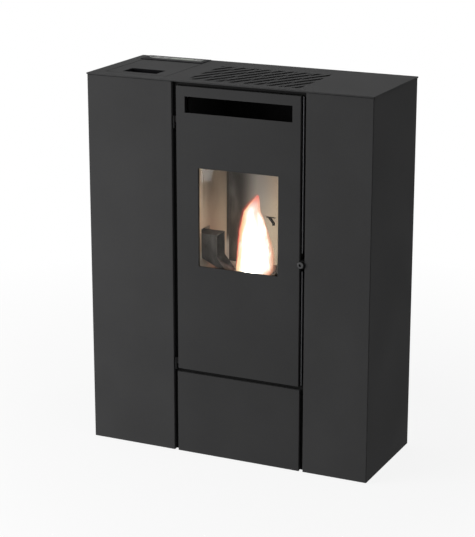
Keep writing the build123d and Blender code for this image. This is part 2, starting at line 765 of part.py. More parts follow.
with BuildPart() as firebox_body:
    block((firebox_left, firebox_right), (firebox_front, firebox_back), (firebox_bottom, firebox_shoulder))
    block((firebox_left, firebox_right), (smoke_front, firebox_back), (firebox_shoulder, firebox_top))
    block((firebox_left - flange, firebox_right + flange), (firebox_front, firebox_front + wall),
          (opening_bottom - flange - flange_drop, firebox_shoulder))
    block((firebox_left + wall, firebox_right - wall), (firebox_front + wall, firebox_back - wall),
          (firebox_bottom + wall, firebox_shoulder - wall), Mode.SUBTRACT)
    block((firebox_left + wall, firebox_right - wall), (smoke_front + wall, firebox_back - wall),
          (firebox_shoulder - wall, firebox_top - wall), Mode.SUBTRACT)
    block((opening_left, opening_right), (firebox_front, firebox_front + wall), (opening_bottom, opening_top),
          Mode.SUBTRACT)
    block((firebox_left, firebox_left + wall), (chute_front - fit, chute_back + fit),
          (chute_hole_low, chute_hole_high), Mode.SUBTRACT)
    block((smoke_hole_left, smoke_hole_right), (firebox_back - wall, firebox_back),
          (smoke_hole_bottom, smoke_hole_top), Mode.SUBTRACT)
    rod((pot_x, firebox_back - wall - 1, inlet_z), (0, 1, 0), inlet_run_radius + fit, wall + 2, Mode.SUBTRACT)
    rod((pot_x, firebox_back - wall - 1, igniter_z), (0, 1, 0), igniter_radius + fit, wall + 2, Mode.SUBTRACT)
    for x in tube_places:
        rod((x, smoke_front - 1, tube_height), (0, 1, 0), tube_radius + tube_play,
            firebox_back - smoke_front + 2,
            Mode.SUBTRACT)
    for x in (firebox_left, firebox_right - wall):
        block((x, x + wall), (firebox_front + wall, firebox_back), (base_top, firebox_bottom))
    for x in (drawer_left + runner_inset, drawer_right - runner_inset - runner_width):
        block((x, x + runner_width), (firebox_front + wall, drawer_back), (firebox_bottom + wall, runner_top))
    for y in (liner_front + lug_inset, fireback_face - lug_inset - lug):
        for x in (firebox_left + wall, firebox_right - wall - lug):
            block((x, x + lug), (y, y + lug), (hearth_height - lug, hearth_height))
firebox_body.part.label = "firebox_body"

lining_bottom = hearth_height + hearth_thickness + fit
lining_top = firebox_shoulder - 5.0
inside_left = firebox_left + wall + fit
inside_right = firebox_right - wall - fit
inside_rear = firebox_back - wall - fit

with BuildPart() as liner_left:
    block((inside_left, liner_left_face), (liner_front, fireback_face - fit),
          (lining_bottom, lining_top - fit))
    block((inside_left, liner_left_face), (chute_front - fit, chute_back + fit),
          (chute_hole_low, chute_board_high), Mode.SUBTRACT)
    fillet(liner_left.edges().filter_by(Axis.Z).group_by(Axis.Y)[0], radius=board_edge)
liner_left.part.label = "liner_left"

with BuildPart() as liner_right:
    block((liner_right_face, inside_right), (liner_front, fireback_face - fit),
          (lining_bottom, lining_top - fit))
    fillet(liner_right.edges().filter_by(Axis.Z).group_by(Axis.Y)[0], radius=board_edge)
liner_right.part.label = "liner_right"

hook_x = pot_x - 7.0
hook_z = hearth_height + 150.0
hook_width = 30.0
hook_proud = 2.0            # the hook's bar stands this far out of the board
hook_reach = 6.0
hook_bar = (4.0, 7.0)
hook_outline = ((-7, 4), (1, 4), (13, -10), (13, -18), (6, -18), (6, -12))

with BuildPart() as fireback:
    block((inside_left, inside_right), (fireback_face, inside_rear), (lining_bottom, lining_top - fit))
    block((hook_x - hook_width / 2, hook_x + hook_width / 2), (fireback_face - hook_proud, fireback_face),
          (hook_z + hook_bar[0], hook_z + hook_bar[1]))
    with BuildSketch(Plane.XZ.offset(-fireback_face)):
        with BuildLine():
            Polyline(*[(hook_x + x, hook_z + z) for x, z in hook_outline], close=True)
        make_face()
    extrude(amount=hook_reach)
fireback.part.label = "fireback"

pot_opening_play = 0.6
ash_slot_left = pot_x - 98.0
ash_slot_right = pot_x + 98.0
ash_slot_front = pot_front - 40.0
ash_slot_back = ash_slot_front + 26.0

with BuildPart() as hearth_plate:
    block((inside_left, inside_right), (firebox_front + wall + fit, inside_rear),
          (hearth_height, hearth_height + hearth_thickness))
    block((pot_left - pot_opening_play, pot_right + pot_opening_play),
          (pot_front - pot_opening_play, pot_back + pot_opening_play),
          (hearth_height, hearth_height + hearth_thickness), Mode.SUBTRACT)
    block((ash_slot_left, ash_slot_right), (ash_slot_front, ash_slot_back),
          (hearth_height, hearth_height + hearth_thickness), Mode.SUBTRACT)
hearth_plate.part.label = "hearth_plate"

baffle_front = smoke_front + 20.0
baffle_thickness = 12.0

with BuildPart() as baffle_plate:
    block((inside_left, inside_right), (baffle_front, inside_rear),
          (lining_top, lining_top + baffle_thickness))
    fillet(baffle_plate.edges().filter_by(Axis.X), radius=board_edge)
baffle_plate.part.label = "baffle_plate"

pot_low = hearth_height + hearth_thickness + fit - pot_height
pot_rim_thickness = 4.0
pot_rim_top = hearth_height + hearth_thickness + fit + pot_rim_thickness
pot_corner = 10.0
pot_hole_radius = 2.5
pot_hole_pitch = 20.0
pot_holes = (4, 3)

with BuildPart() as burn_pot:
    block((pot_left, pot_right), (pot_front, pot_back), (pot_low, pot_rim_top))
    fillet(burn_pot.edges().filter_by(Axis.Z), radius=pot_corner)
    block((pot_left - pot_rim, pot_right + pot_rim), (pot_front - pot_rim, pot_back + pot_rim),
          (pot_rim_top - pot_rim_thickness, pot_rim_top))
    block((pot_left + pot_wall, pot_right - pot_wall), (pot_front + pot_wall, pot_back - pot_wall),
          (pot_low + pot_wall, pot_rim_top), Mode.SUBTRACT)
    with Locations((pot_x, pot_y, pot_low)):
        with GridLocations(pot_hole_pitch, pot_hole_pitch, *pot_holes):
            Cylinder(pot_hole_radius, 3 * pot_wall, mode=Mode.SUBTRACT)
burn_pot.part.label = "burn_pot"

air_box_depth = 54.0
air_box_wall = 3.0
air_box_margin = 5.0
air_box_left = pot_left - air_box_margin
air_box_right = pot_right + air_box_margin
air_box_front = pot_front - air_box_margin
air_box_rear = pot_back + air_box_margin
air_hole_radius = inlet_radius - pipe_wall - 1.0

with BuildPart() as burner_air_box:
    block((air_box_left, air_box_right), (air_box_front, air_box_rear),
          (pot_low - air_box_depth, pot_low - fit))
    block((air_box_left + air_box_wall, air_box_right - air_box_wall),
          (air_box_front + air_box_wall, air_box_rear - air_box_wall),
          (pot_low - air_box_depth + air_box_wall, pot_low - fit), Mode.SUBTRACT)
    rod((pot_x, air_box_rear - air_box_wall - 1, inlet_z), (0, 1, 0), air_hole_radius, air_box_wall + 2,
        Mode.SUBTRACT)
burner_air_box.part.label = "burner_air_box"

with BuildPart() as combustion_air_pipe:
    rod((pot_x, air_box_rear, inlet_z), (0, 1, 0), inlet_run_radius, spigot_front - air_box_rear)
    rod((pot_x, air_box_rear, inlet_z), (0, 1, 0), inlet_radius, flue_end - air_box_rear)
    rod((pot_x, air_box_rear, inlet_z), (0, 1, 0), inlet_radius - pipe_wall, flue_end - air_box_rear,
        Mode.SUBTRACT)
combustion_air_pipe.part.label = "combustion_air_pipe"

igniter_tip = pot_back + fit
igniter_tail = 30.0
igniter_nut_radius = 9.0
igniter_nut = 12.0

with BuildPart() as igniter:
    rod((pot_x, igniter_tip, igniter_z), (0, 1, 0), igniter_radius, firebox_back + igniter_tail - igniter_tip)
    rod((pot_x, firebox_back + fit, igniter_z), (0, 1, 0), igniter_nut_radius, igniter_nut)
igniter.part.label = "igniter"

# ---- pellet feed ----
auger_origin = (auger_start_x, auger_y, auger_start_z)
auger_direction = (1, 0, 1)
chute_top = hearth_height + 135.0
chute_mouth = firebox_left + 70.0
chute_tip = firebox_left + 105.0
chute_tip_z = hearth_height + 20.0
chute_knee_x = firebox_left + 12.0
chute_knee_z = hearth_height + 64.0
chute_far = firebox_left - 60.0
chute_lip = 3.0
chute_mouth_drop = 45.0
chute_shelf = 42.0          # the flat top ends this far behind the knee
chute_hood = 32.0
chute_slant = 10.0
chute_corner = 9.0
drop = chute_knee_x - chute_far
chute_end_z = chute_knee_z + drop
chute_end_top = chute_end_z + chute_mouth_drop
slope_z = (chute_knee_z - chute_tip_z) / (chute_tip - chute_knee_x)
through = 5.0               # a cut reaches this far past an open end
inner_lift = chute_wall * math.sqrt(2)

with BuildPart() as pellet_chute:
    side_prism([(chute_far, chute_end_top), (chute_far, chute_end_z), (chute_knee_x, chute_knee_z),
                (chute_tip, chute_tip_z), (chute_tip, chute_tip_z + chute_lip),
                (chute_mouth, chute_tip_z + chute_mouth_drop), (chute_mouth, chute_top),
                (chute_knee_x - chute_slant, chute_top), (chute_knee_x - chute_shelf, chute_top + chute_hood),
                (chute_knee_x - chute_shelf, chute_end_top)], chute_front, chute_back)
    fillet(pellet_chute.edges().filter_by(Axis.X).group_by(Axis.Z)[-1], radius=chute_corner)
    side_prism([(chute_far + chute_wall, chute_end_top + through),
                (chute_far + chute_wall, chute_end_z + inner_lift - chute_wall),
                (chute_knee_x + chute_wall / 2, chute_knee_z + chute_wall),
                (chute_tip + through, chute_tip_z + chute_wall - through * slope_z),
                (chute_tip + through, chute_top - chute_wall),
                (chute_knee_x - chute_slant + chute_wall / 2, chute_top - chute_wall),
                (chute_knee_x - chute_shelf - chute_wall, chute_top + chute_hood),
                (chute_knee_x - chute_shelf - chute_wall, chute_end_top + through)],
               chute_front + chute_wall, chute_back - chute_wall, Mode.SUBTRACT)
    rod(auger_origin, auger_direction, auger_tube_radius + fit, auger_length, Mode.SUBTRACT)
pellet_chute.part.label = "pellet_chute"

flange_thickness = 4.0
flange_margin = 6.0
auger_inlet_x = auger_start_x + 52.0
feed_slot_half = 22.0
feed_inset = 6.0
feed_slot_low = auger_start_z + 52.0
feed_slot_high = auger_start_z + 150.0
drop_slot_low = auger_end_z - 101.0
drop_slot_high = auger_end_z - 16.0
drop_slot_right = chute_knee_x - chute_shelf - 3.0

with BuildPart() as auger_tube:
    rod(auger_origin, auger_direction, auger_tube_radius, auger_length)
    rod(auger_origin, auger_direction, auger_tube_radius - auger_tube_wall, auger_length - auger_tube_wall,
        Mode.SUBTRACT)
    rod(auger_origin, (-1, 0, -1), auger_tube_radius + flange_margin, flange_thickness)
    rod(auger_origin, (-1, 0, -1), auger_shaft_radius + pin_play, flange_thickness, Mode.SUBTRACT)
    block((auger_inlet_x - hopper_neck / 2 + feed_inset, auger_inlet_x + hopper_neck / 2 - feed_inset),
          (auger_y - feed_slot_half, auger_y + feed_slot_half), (feed_slot_low, feed_slot_high),
          Mode.SUBTRACT)
    block((chute_far + feed_inset, drop_slot_right), (auger_y - feed_slot_half, auger_y + feed_slot_half),
          (drop_slot_low, drop_slot_high), Mode.SUBTRACT)
auger_tube.part.label = "auger_tube"

shaft_end_gap = 10.0
flight_end_gap = 30.0
flight_start = 6.0          # the flight starts this far along X and Z from the tube's lower end
flight_root = 1.0           # the flight is sunk this far into the shaft
flight_thickness = 2.5
flight_centre = (auger_start_x + flight_start, auger_y, auger_start_z + flight_start)
flight_width = auger_flight_radius - auger_shaft_radius

with BuildPart() as auger_screw:
    with Locations(Plane(origin=auger_origin, z_dir=auger_direction).offset(-shaft_tail)):
        Cylinder(auger_shaft_radius, auger_length + shaft_tail - shaft_end_gap,
                 align=(Align.CENTER, Align.CENTER, Align.MIN))
    with BuildLine():
        flight_path = Helix(pitch=auger_pitch, height=auger_length - flight_end_gap,
                            radius=auger_shaft_radius - flight_root, center=flight_centre,
                            direction=auger_direction)
    with BuildSketch(Plane(origin=flight_path @ 0, x_dir=Vector(*flight_centre) - (flight_path @ 0),
                           z_dir=flight_path % 0)):
        with Locations((-flight_width / 2, 0)):
            Rectangle(flight_width + 2 * flight_root, flight_thickness)
    sweep(path=flight_path, is_frenet=True)
auger_screw.part.label = "auger_screw"

gearbox_size = 80.0
gearbox_corner = 8.0
gearbox_depth = 36.0
drive_radius = 28.0
drive_length = 50.0
shaft_room = 0.5

with BuildPart() as auger_motor:
    gear_plane = Plane(origin=auger_origin, x_dir=(0, 1, 0), z_dir=(-1, 0, -1)).offset(flange_thickness)
    with BuildSketch(gear_plane):
        RectangleRounded(gearbox_size, gearbox_size, gearbox_corner)
    extrude(amount=gearbox_depth)
    with BuildSketch(gear_plane.offset(gearbox_depth)):
        Circle(drive_radius)
    extrude(amount=drive_length)
    with BuildSketch(gear_plane):
        Circle(auger_shaft_radius + shaft_room)
    extrude(amount=shaft_tail, mode=Mode.SUBTRACT)
auger_motor.part.label = "auger_motor"

neck_x = (auger_inlet_x - hopper_neck / 2, auger_inlet_x + hopper_neck / 2)
neck_low = auger_start_z + 60.0
mouth_middle = ((mouth_left + mouth_right) / 2, (mouth_front + mouth_back) / 2)
mouth_size = (mouth_right - mouth_left, mouth_back - mouth_front)
hopper_shapes = ((0, Mode.ADD), (hopper_wall, Mode.SUBTRACT))

with BuildPart() as hopper:
    for inset, how in hopper_shapes:
        with BuildSketch(Plane.XY.offset(hopper_straight_bottom)):
            with Locations(mouth_middle):
                Rectangle(mouth_size[0] - 2 * inset, mouth_size[1] - 2 * inset)
        extrude(amount=hopper_rim_height - hopper_straight_bottom, mode=how)
        with BuildSketch(Plane.XY.offset(hopper_straight_bottom)):
            with Locations(mouth_middle):
                Rectangle(mouth_size[0] - 2 * inset, mouth_size[1] - 2 * inset)
        with BuildSketch(Plane.XY.offset(hopper_cone_bottom)):
            with Locations((auger_inlet_x, auger_y)):
                Rectangle(hopper_neck - 2 * inset, hopper_neck - 2 * inset)
        loft(mode=how)
        block((neck_x[0] + inset, neck_x[1] - inset),
              (auger_y - hopper_neck / 2 + inset, auger_y + hopper_neck / 2 - inset),
              (neck_low - inset, hopper_cone_bottom), how)
    rod(auger_origin, auger_direction, auger_tube_radius + fit, auger_length, Mode.SUBTRACT)
hopper.part.label = "hopper"

grid_height = hopper_rim_height - 45.0
grid_depth = 8.0
grid_bar = 3.0
grid_bar_rise = 2.0
grid_pitch = 24.0

with BuildPart() as hopper_grid:
    low = (mouth_left + hopper_wall + fit, mouth_front + hopper_wall + fit)
    high = (mouth_right - hopper_wall - fit, mouth_back - hopper_wall - fit)
    block((low[0], high[0]), (low[1], high[1]), (grid_height, grid_height + grid_depth))
    block((low[0] + grid_bar, high[0] - grid_bar), (low[1] + grid_bar, high[1] - grid_bar),
          (grid_height, grid_height + grid_depth), Mode.SUBTRACT)
    bars = int((high[0] - low[0]) / grid_pitch)
    for i in range(1, bars):
        x = low[0] + i * (high[0] - low[0]) / bars
        block((x - grid_bar / 2, x + grid_bar / 2), (low[1] + 1, high[1] - 1),
              (grid_height + grid_bar_rise, grid_height + grid_bar_rise + grid_bar))
hopper_grid.part.label = "hopper_grid"

# ---- ash drawer, exchanger and warm air duct ----
with BuildPart() as ash_drawer:
    block((drawer_left, drawer_right), (drawer_front, drawer_back),
          (runner_top + fit, runner_top + drawer_height))
    block((drawer_left + sheet, drawer_right - sheet), (drawer_front + sheet, drawer_back - sheet),
          (runner_top + fit + sheet, runner_top + drawer_height), Mode.SUBTRACT)
ash_drawer.part.label = "ash_drawer"

tube_end = 6.0
tube_front = smoke_front - tube_end
tube_length = firebox_back - smoke_front + 2 * tube_end

with BuildPart() as heat_exchanger_tubes:
    for x in tube_places:
        rod((x, tube_front, tube_height), (0, 1, 0), tube_radius, tube_length)
        rod((x, tube_front, tube_height), (0, 1, 0), tube_radius - tube_wall, tube_length, Mode.SUBTRACT)
heat_exchanger_tubes.part.label = "heat_exchanger_tubes"

duct_top = ring_bottom - fit
duct_step_y = smoke_front - 8.0
duct_mouth_side = 4.0
duct_mouth_room = 6.0

with BuildPart() as warm_air_duct:
    prism([(firebox_front, firebox_shoulder + fit), (duct_step_y, firebox_shoulder + fit),
           (duct_step_y, firebox_top + fit), (firebox_back, firebox_top + fit), (firebox_back, duct_top),
           (firebox_front, duct_top)], firebox_left, firebox_right)
    prism([(firebox_front + sheet, firebox_shoulder), (duct_step_y, firebox_shoulder),
           (duct_step_y, firebox_top), (firebox_back - sheet, firebox_top), (firebox_back - sheet, duct_top),
           (firebox_front + sheet, duct_top)], firebox_left + sheet, firebox_right - sheet, Mode.SUBTRACT)
    block((slot_left + duct_mouth_side, slot_right - duct_mouth_side), (firebox_front, firebox_front + sheet),
          (slot_bottom - duct_mouth_room, slot_top + duct_mouth_room), Mode.SUBTRACT)
warm_air_duct.part.label = "warm_air_duct"

duct_right = firebox_right - 4.0
duct_left = duct_right - smoke_duct_width
duct_back = firebox_back + smoke_duct_depth
duct_top_z = firebox_top - 5.0
duct_foot_half = 35.0
duct_foot_front = smoke_fan_y - duct_foot_half
duct_foot_left = duct_right - 18.0
duct_foot_right = duct_right - wall - 1.0
duct_foot_top = smoke_fan_z + duct_foot_half
duct_foot_bottom = smoke_fan_z - duct_foot_half
fan_inlet_radius = 28.0
fan_wall = 3.0

with BuildPart() as smoke_duct:
    block((duct_left, duct_right), (firebox_back, duct_back), (duct_foot_bottom, duct_top_z))
    block((duct_foot_left, duct_foot_right), (duct_foot_front, firebox_back),
          (duct_foot_bottom, duct_foot_top))
    block((duct_left + duct_wall, duct_right - duct_wall), (firebox_back + duct_wall, duct_back - duct_wall),
          (duct_foot_bottom + duct_wall, duct_top_z - duct_wall), Mode.SUBTRACT)
    block((duct_foot_left + duct_wall, duct_foot_right - duct_wall),
          (duct_foot_front + duct_wall, firebox_back + through),
          (duct_foot_bottom + duct_wall, duct_foot_top - duct_wall), Mode.SUBTRACT)
    block((smoke_hole_left, smoke_hole_right), (firebox_back, firebox_back + duct_wall),
          (smoke_hole_bottom, smoke_hole_top), Mode.SUBTRACT)
    rod((duct_foot_left - 1, smoke_fan_y, smoke_fan_z), (1, 0, 0), fan_inlet_radius, duct_wall + 2,
        Mode.SUBTRACT)
smoke_duct.part.label = "smoke_duct"

# ---- smoke fan ----
fan_left = flue_x - smoke_fan_width / 2
fan_right = flue_x + smoke_fan_width / 2
spigot_start = smoke_fan_y + 42.0
fan_foot = (24.0, 90.0)
fan_foot_top = smoke_fan_z - 50.0

with BuildPart() as smoke_fan_housing:
    rod((fan_left, smoke_fan_y, smoke_fan_z), (1, 0, 0), smoke_fan_radius, smoke_fan_width)
    rod((flue_x, spigot_start, flue_z), (0, 1, 0), flue_radius + spigot_step, spigot_front - spigot_start)
    rod((flue_x, spigot_start, flue_z), (0, 1, 0), flue_radius, flue_end - spigot_start)
    rod((fan_right, smoke_fan_y, smoke_fan_z), (1, 0, 0), fan_inlet_radius + fan_wall,
        duct_foot_left - fan_right)
    block((flue_x - fan_foot[0] / 2, flue_x + fan_foot[0] / 2),
          (smoke_fan_y - fan_foot[1] / 2, smoke_fan_y + fan_foot[1] / 2), (base_top, fan_foot_top))
    rod((fan_left + fan_wall, smoke_fan_y, smoke_fan_z), (1, 0, 0), smoke_fan_radius - fan_wall,
        smoke_fan_width - 2 * fan_wall, Mode.SUBTRACT)
    rod((flue_x, spigot_start, flue_z), (0, 1, 0), flue_radius - pipe_wall, flue_end - spigot_start,
        Mode.SUBTRACT)
    rod((fan_right - fan_wall - 1, smoke_fan_y, smoke_fan_z), (1, 0, 0), fan_inlet_radius,
        duct_foot_left - fan_right + fan_wall + 1, Mode.SUBTRACT)
    rod((fan_left - 1, smoke_fan_y, smoke_fan_z), (1, 0, 0), motor_shaft_radius + pin_play, fan_wall + 2,
        Mode.SUBTRACT)
smoke_fan_housing.part.label = "smoke_fan_housing"

blade_count = 8
blade_thickness = 2.5
blade_length = smoke_impeller_radius - 12.0
blade_middle = smoke_impeller_radius / 2 + 3.0
impeller_width = 34.0
impeller_disc = 2.0
impeller_hub_radius = 10.0
impeller_left = fan_left + 8.0
shaft_length = 22.0
motor_shaft_depth = 16.0
motor_flange = (38.0, 8.0)
motor_can = (30.0, 58.0)

with BuildPart() as smoke_fan_impeller:
    rod((impeller_left, smoke_fan_y, smoke_fan_z), (1, 0, 0), smoke_impeller_radius, impeller_disc)
    rod((impeller_left, smoke_fan_y, smoke_fan_z), (1, 0, 0), impeller_hub_radius, impeller_width)
    with Locations(Plane(origin=(impeller_left + impeller_width / 2, smoke_fan_y, smoke_fan_z),
                         z_dir=(1, 0, 0))):
        with PolarLocations(blade_middle, blade_count):
            Box(blade_length, blade_thickness, impeller_width)
    rod((impeller_left + impeller_disc - shaft_length, smoke_fan_y, smoke_fan_z), (1, 0, 0),
        motor_shaft_radius,
        shaft_length)
smoke_fan_impeller.part.label = "smoke_fan_impeller"

with BuildPart() as smoke_fan_motor:
    rod((fan_left, smoke_fan_y, smoke_fan_z), (-1, 0, 0), *motor_flange)
    rod((fan_left, smoke_fan_y, smoke_fan_z), (-1, 0, 0), *motor_can)
    rod((fan_left, smoke_fan_y, smoke_fan_z), (-1, 0, 0), motor_shaft_radius + shaft_room, motor_shaft_depth,
        Mode.SUBTRACT)
smoke_fan_motor.part.label = "smoke_fan_motor"

# ---- room air fan ----
room_left = room_fan_x - room_fan_length / 2
room_right = room_fan_x + room_fan_length / 2
room_wall = 2.0
room_outlet_top = room_fan_z + 100.0
room_foot_inset = 10.0
room_foot_half = 35.0
room_foot_top = room_fan_z - 40.0
room_inlet_radius = 36.0

with BuildPart() as room_fan_housing:
    rod((room_left, room_fan_y, room_fan_z), (1, 0, 0), room_fan_radius, room_fan_length)
    block((room_left, room_right), (room_fan_y, room_fan_y + room_fan_radius), (room_fan_z, room_outlet_top))
    block((room_left + room_foot_inset, room_right - room_foot_inset),
          (room_fan_y - room_foot_half, room_fan_y + room_foot_half), (base_top, room_foot_top))
    rod((room_left + room_wall, room_fan_y, room_fan_z), (1, 0, 0), room_fan_radius - room_wall,
        room_fan_length - 2 * room_wall, Mode.SUBTRACT)
    block((room_left + room_wall, room_right - room_wall),
          (room_fan_y + room_wall, room_fan_y + room_fan_radius - room_wall), (room_fan_z, room_outlet_top),
          Mode.SUBTRACT)
    rod((room_left - 1, room_fan_y, room_fan_z), (1, 0, 0), room_inlet_radius, room_wall + 2, Mode.SUBTRACT)
    rod((room_right - room_wall - 1, room_fan_y, room_fan_z), (1, 0, 0), motor_shaft_radius + pin_play,
        room_wall + 2, Mode.SUBTRACT)
room_fan_housing.part.label = "room_fan_housing"

room_blades = 16
room_blade = (9.0, 2.0)
room_wheel_gap = 7.0
room_wheel_length = room_fan_length - 2 * room_wheel_gap
wheel_disc = 2.0
wheel_left = room_left + room_wheel_gap
wheel_right = room_right - room_wheel_gap - wheel_disc
wheel_eye_radius = 34.0
room_motor_flange = (34.0, 6.0)
room_motor_can = (26.0, 36.0)

with BuildPart() as room_fan_impeller:
    for x in (wheel_left, wheel_right):
        rod((x, room_fan_y, room_fan_z), (1, 0, 0), room_impeller_radius, wheel_disc)
    rod((wheel_left, room_fan_y, room_fan_z), (1, 0, 0), wheel_eye_radius, wheel_disc, Mode.SUBTRACT)
    with Locations(Plane(origin=(room_fan_x, room_fan_y, room_fan_z), z_dir=(1, 0, 0))):
        with PolarLocations(room_impeller_radius - room_blade[0] / 2 - 0.5, room_blades):
            Box(*room_blade, room_wheel_length)
    rod((wheel_right, room_fan_y, room_fan_z), (1, 0, 0), motor_shaft_radius, shaft_length)
room_fan_impeller.part.label = "room_fan_impeller"

with BuildPart() as room_fan_motor:
    rod((room_right, room_fan_y, room_fan_z), (1, 0, 0), *room_motor_flange)
    rod((room_right, room_fan_y, room_fan_z), (1, 0, 0), *room_motor_can)
    rod((room_right, room_fan_y, room_fan_z), (1, 0, 0), motor_shaft_radius + shaft_room, motor_shaft_depth,
        Mode.SUBTRACT)
room_fan_motor.part.label = "room_fan_motor"

# ---- electrics ----
board_back = board_front + board_size[1]
board_top = board_bottom + board_size[2]

board_corner = 4.0
board_face = inner_x - board_size[0]
supply_box = (10.0, 40.0, 40.0)
supply_place = (30.0, 20.0)         # from the board's front and bottom edges
logic_rise = 8.0
logic_front = board_front + 90.0
logic_back = board_back - 20.0
logic_bottom = board_bottom + 30.0
logic_top = board_top - 40.0
supply_front = board_front + supply_place[0]
supply_bottom = board_bottom + supply_place[1]

with BuildPart() as control_board:
    block((board_face, inner_x), (board_front, board_back), (board_bottom, board_top))
    fillet(control_board.edges().filter_by(Axis.X), radius=board_corner)
    block((board_face - supply_box[0], board_face), (supply_front, supply_front + supply_box[1]),
          (supply_bottom, supply_bottom + supply_box[2]))
    block((board_face - logic_rise, board_face), (logic_front, logic_back), (logic_bottom, logic_top))
control_board.part.label = "control_board"

socket_size = (24.0, 17.0)
socket_x = mains_x - 9.0
socket_depth = 17.0
pin_places = ((-7.0, -2.0), (0.0, 2.0), (7.0, -2.0))
pin_half = (1.0, 2.0)
pin_setback = 3.0           # the pins end this far inside the socket
rocker_x = mains_x + 14.0
rocker_size = (11.0, 19.0)
rocker_well = 14.0
inlet_front = back_panel_front - 30.0
inlet_back = back_panel_back + 2.0
inlet_lip = 4.0
inlet_corner = 2.0

with BuildPart() as mains_inlet:
    block((mains_x - mains_hole[0] / 2 + fit, mains_x + mains_hole[0] / 2 - fit), (inlet_front, inlet_back),
          (mains_z - mains_hole[1] / 2 + fit, mains_z + mains_hole[1] / 2 - fit))
    block((mains_x - mains_hole[0] / 2 - inlet_lip, mains_x + mains_hole[0] / 2 + inlet_lip),
          (back_panel_back, inlet_back),
          (mains_z - mains_hole[1] / 2 - inlet_lip, mains_z + mains_hole[1] / 2 + inlet_lip))
    fillet(mains_inlet.edges().filter_by(Axis.Y).group_by(Axis.X)[0], radius=inlet_corner)
    block((socket_x - socket_size[0] / 2, socket_x + socket_size[0] / 2),
          (inlet_back - socket_depth, inlet_back),
          (mains_z - socket_size[1] / 2, mains_z + socket_size[1] / 2), Mode.SUBTRACT)
    for pin_x, pin_z in pin_places:
        block((socket_x + pin_x - pin_half[0], socket_x + pin_x + pin_half[0]),
              (inlet_back - socket_depth, inlet_back - pin_setback),
              (mains_z + pin_z - pin_half[1], mains_z + pin_z + pin_half[1]))
    block((rocker_x - rocker_size[0] / 2 - fit, rocker_x + rocker_size[0] / 2 + fit),
          (inlet_back - rocker_well, inlet_back),
          (mains_z - rocker_size[1] / 2 - fit, mains_z + rocker_size[1] / 2 + fit), Mode.SUBTRACT)
mains_inlet.part.label = "mains_inlet"

rocker_tilt = 8.0
rocker_axis_y = inlet_back - 6.0
# half the rocker's outline: out of the panel, and along its height
rocker_outline = ((-4.0, 3.0), (5.0, 8.4), (7.0, 8.2), (5.6, 0.0))

with BuildPart() as mains_switch:
    tilt = math.radians(rocker_tilt)
    with BuildSketch(Plane(origin=(rocker_x - rocker_size[0] / 2, rocker_axis_y, mains_z),
                           x_dir=(0, math.cos(tilt), math.sin(tilt)), z_dir=(1, 0, 0))):
        with BuildLine():
            Polyline(*rocker_outline, *[(out, -along) for out, along in reversed(rocker_outline[:-1])],
                     close=True)
        make_face()
    extrude(amount=rocker_size[0])
mains_switch.part.label = "mains_switch"

screw_head_radius = 4.0
screw_head = 2.0
screw_rows = 4
screw_end = 80.0
screw_inset = 12.0

with BuildPart() as casing_screws:
    for s in (-1, 1):
        for i in range(screw_rows):
            z = screw_end + i * (casing_top - 2 * screw_end) / (screw_rows - 1)
            rod((s * (side_x - screw_inset), back_y, z), (0, 1, 0), screw_head_radius, screw_head)
casing_screws.part.label = "casing_screws"

for piece in (base_plate, levelling_feet, front_frame, chassis_frame, left_casing, right_casing, back_panel,
              top_plate, hopper_lid, lid_pull, lid_gasket, lid_hinge_arms, lid_hinge_brackets,
              control_bezel, control_face, display_window, *keys, power_button, lower_front_cover,
              door_panel, door_frame, door_hinge_pins, door_glass, glass_seal_strip, glass_clips,
              door_rope_seal, latch_knob, latch_cam, firebox_body, liner_left, liner_right, fireback,
              hearth_plate, baffle_plate, burn_pot, burner_air_box, combustion_air_pipe, igniter,
              pellet_chute, auger_tube, auger_screw, auger_motor, hopper, hopper_grid, ash_drawer,
              heat_exchanger_tubes, warm_air_duct, smoke_duct, smoke_fan_housing, smoke_fan_impeller,
              smoke_fan_motor, room_fan_housing, room_fan_impeller, room_fan_motor, control_board,
              mains_inlet, mains_switch, casing_screws):
    export_step(piece.part, f"parts/{piece.part.label}.step")
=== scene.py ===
"""Pellet stove with a satin anthracite steel casing: finishes, fire, fuel and small fittings.

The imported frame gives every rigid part. This file gives each of them its finish and adds the
pieces that steel solids can't show: the flame, the glowing fuel, pellets, ash, the braided door
seal and the printed marks. All lengths are in metres, with X to the right, Y to the back and Z up
from the floor.
"""

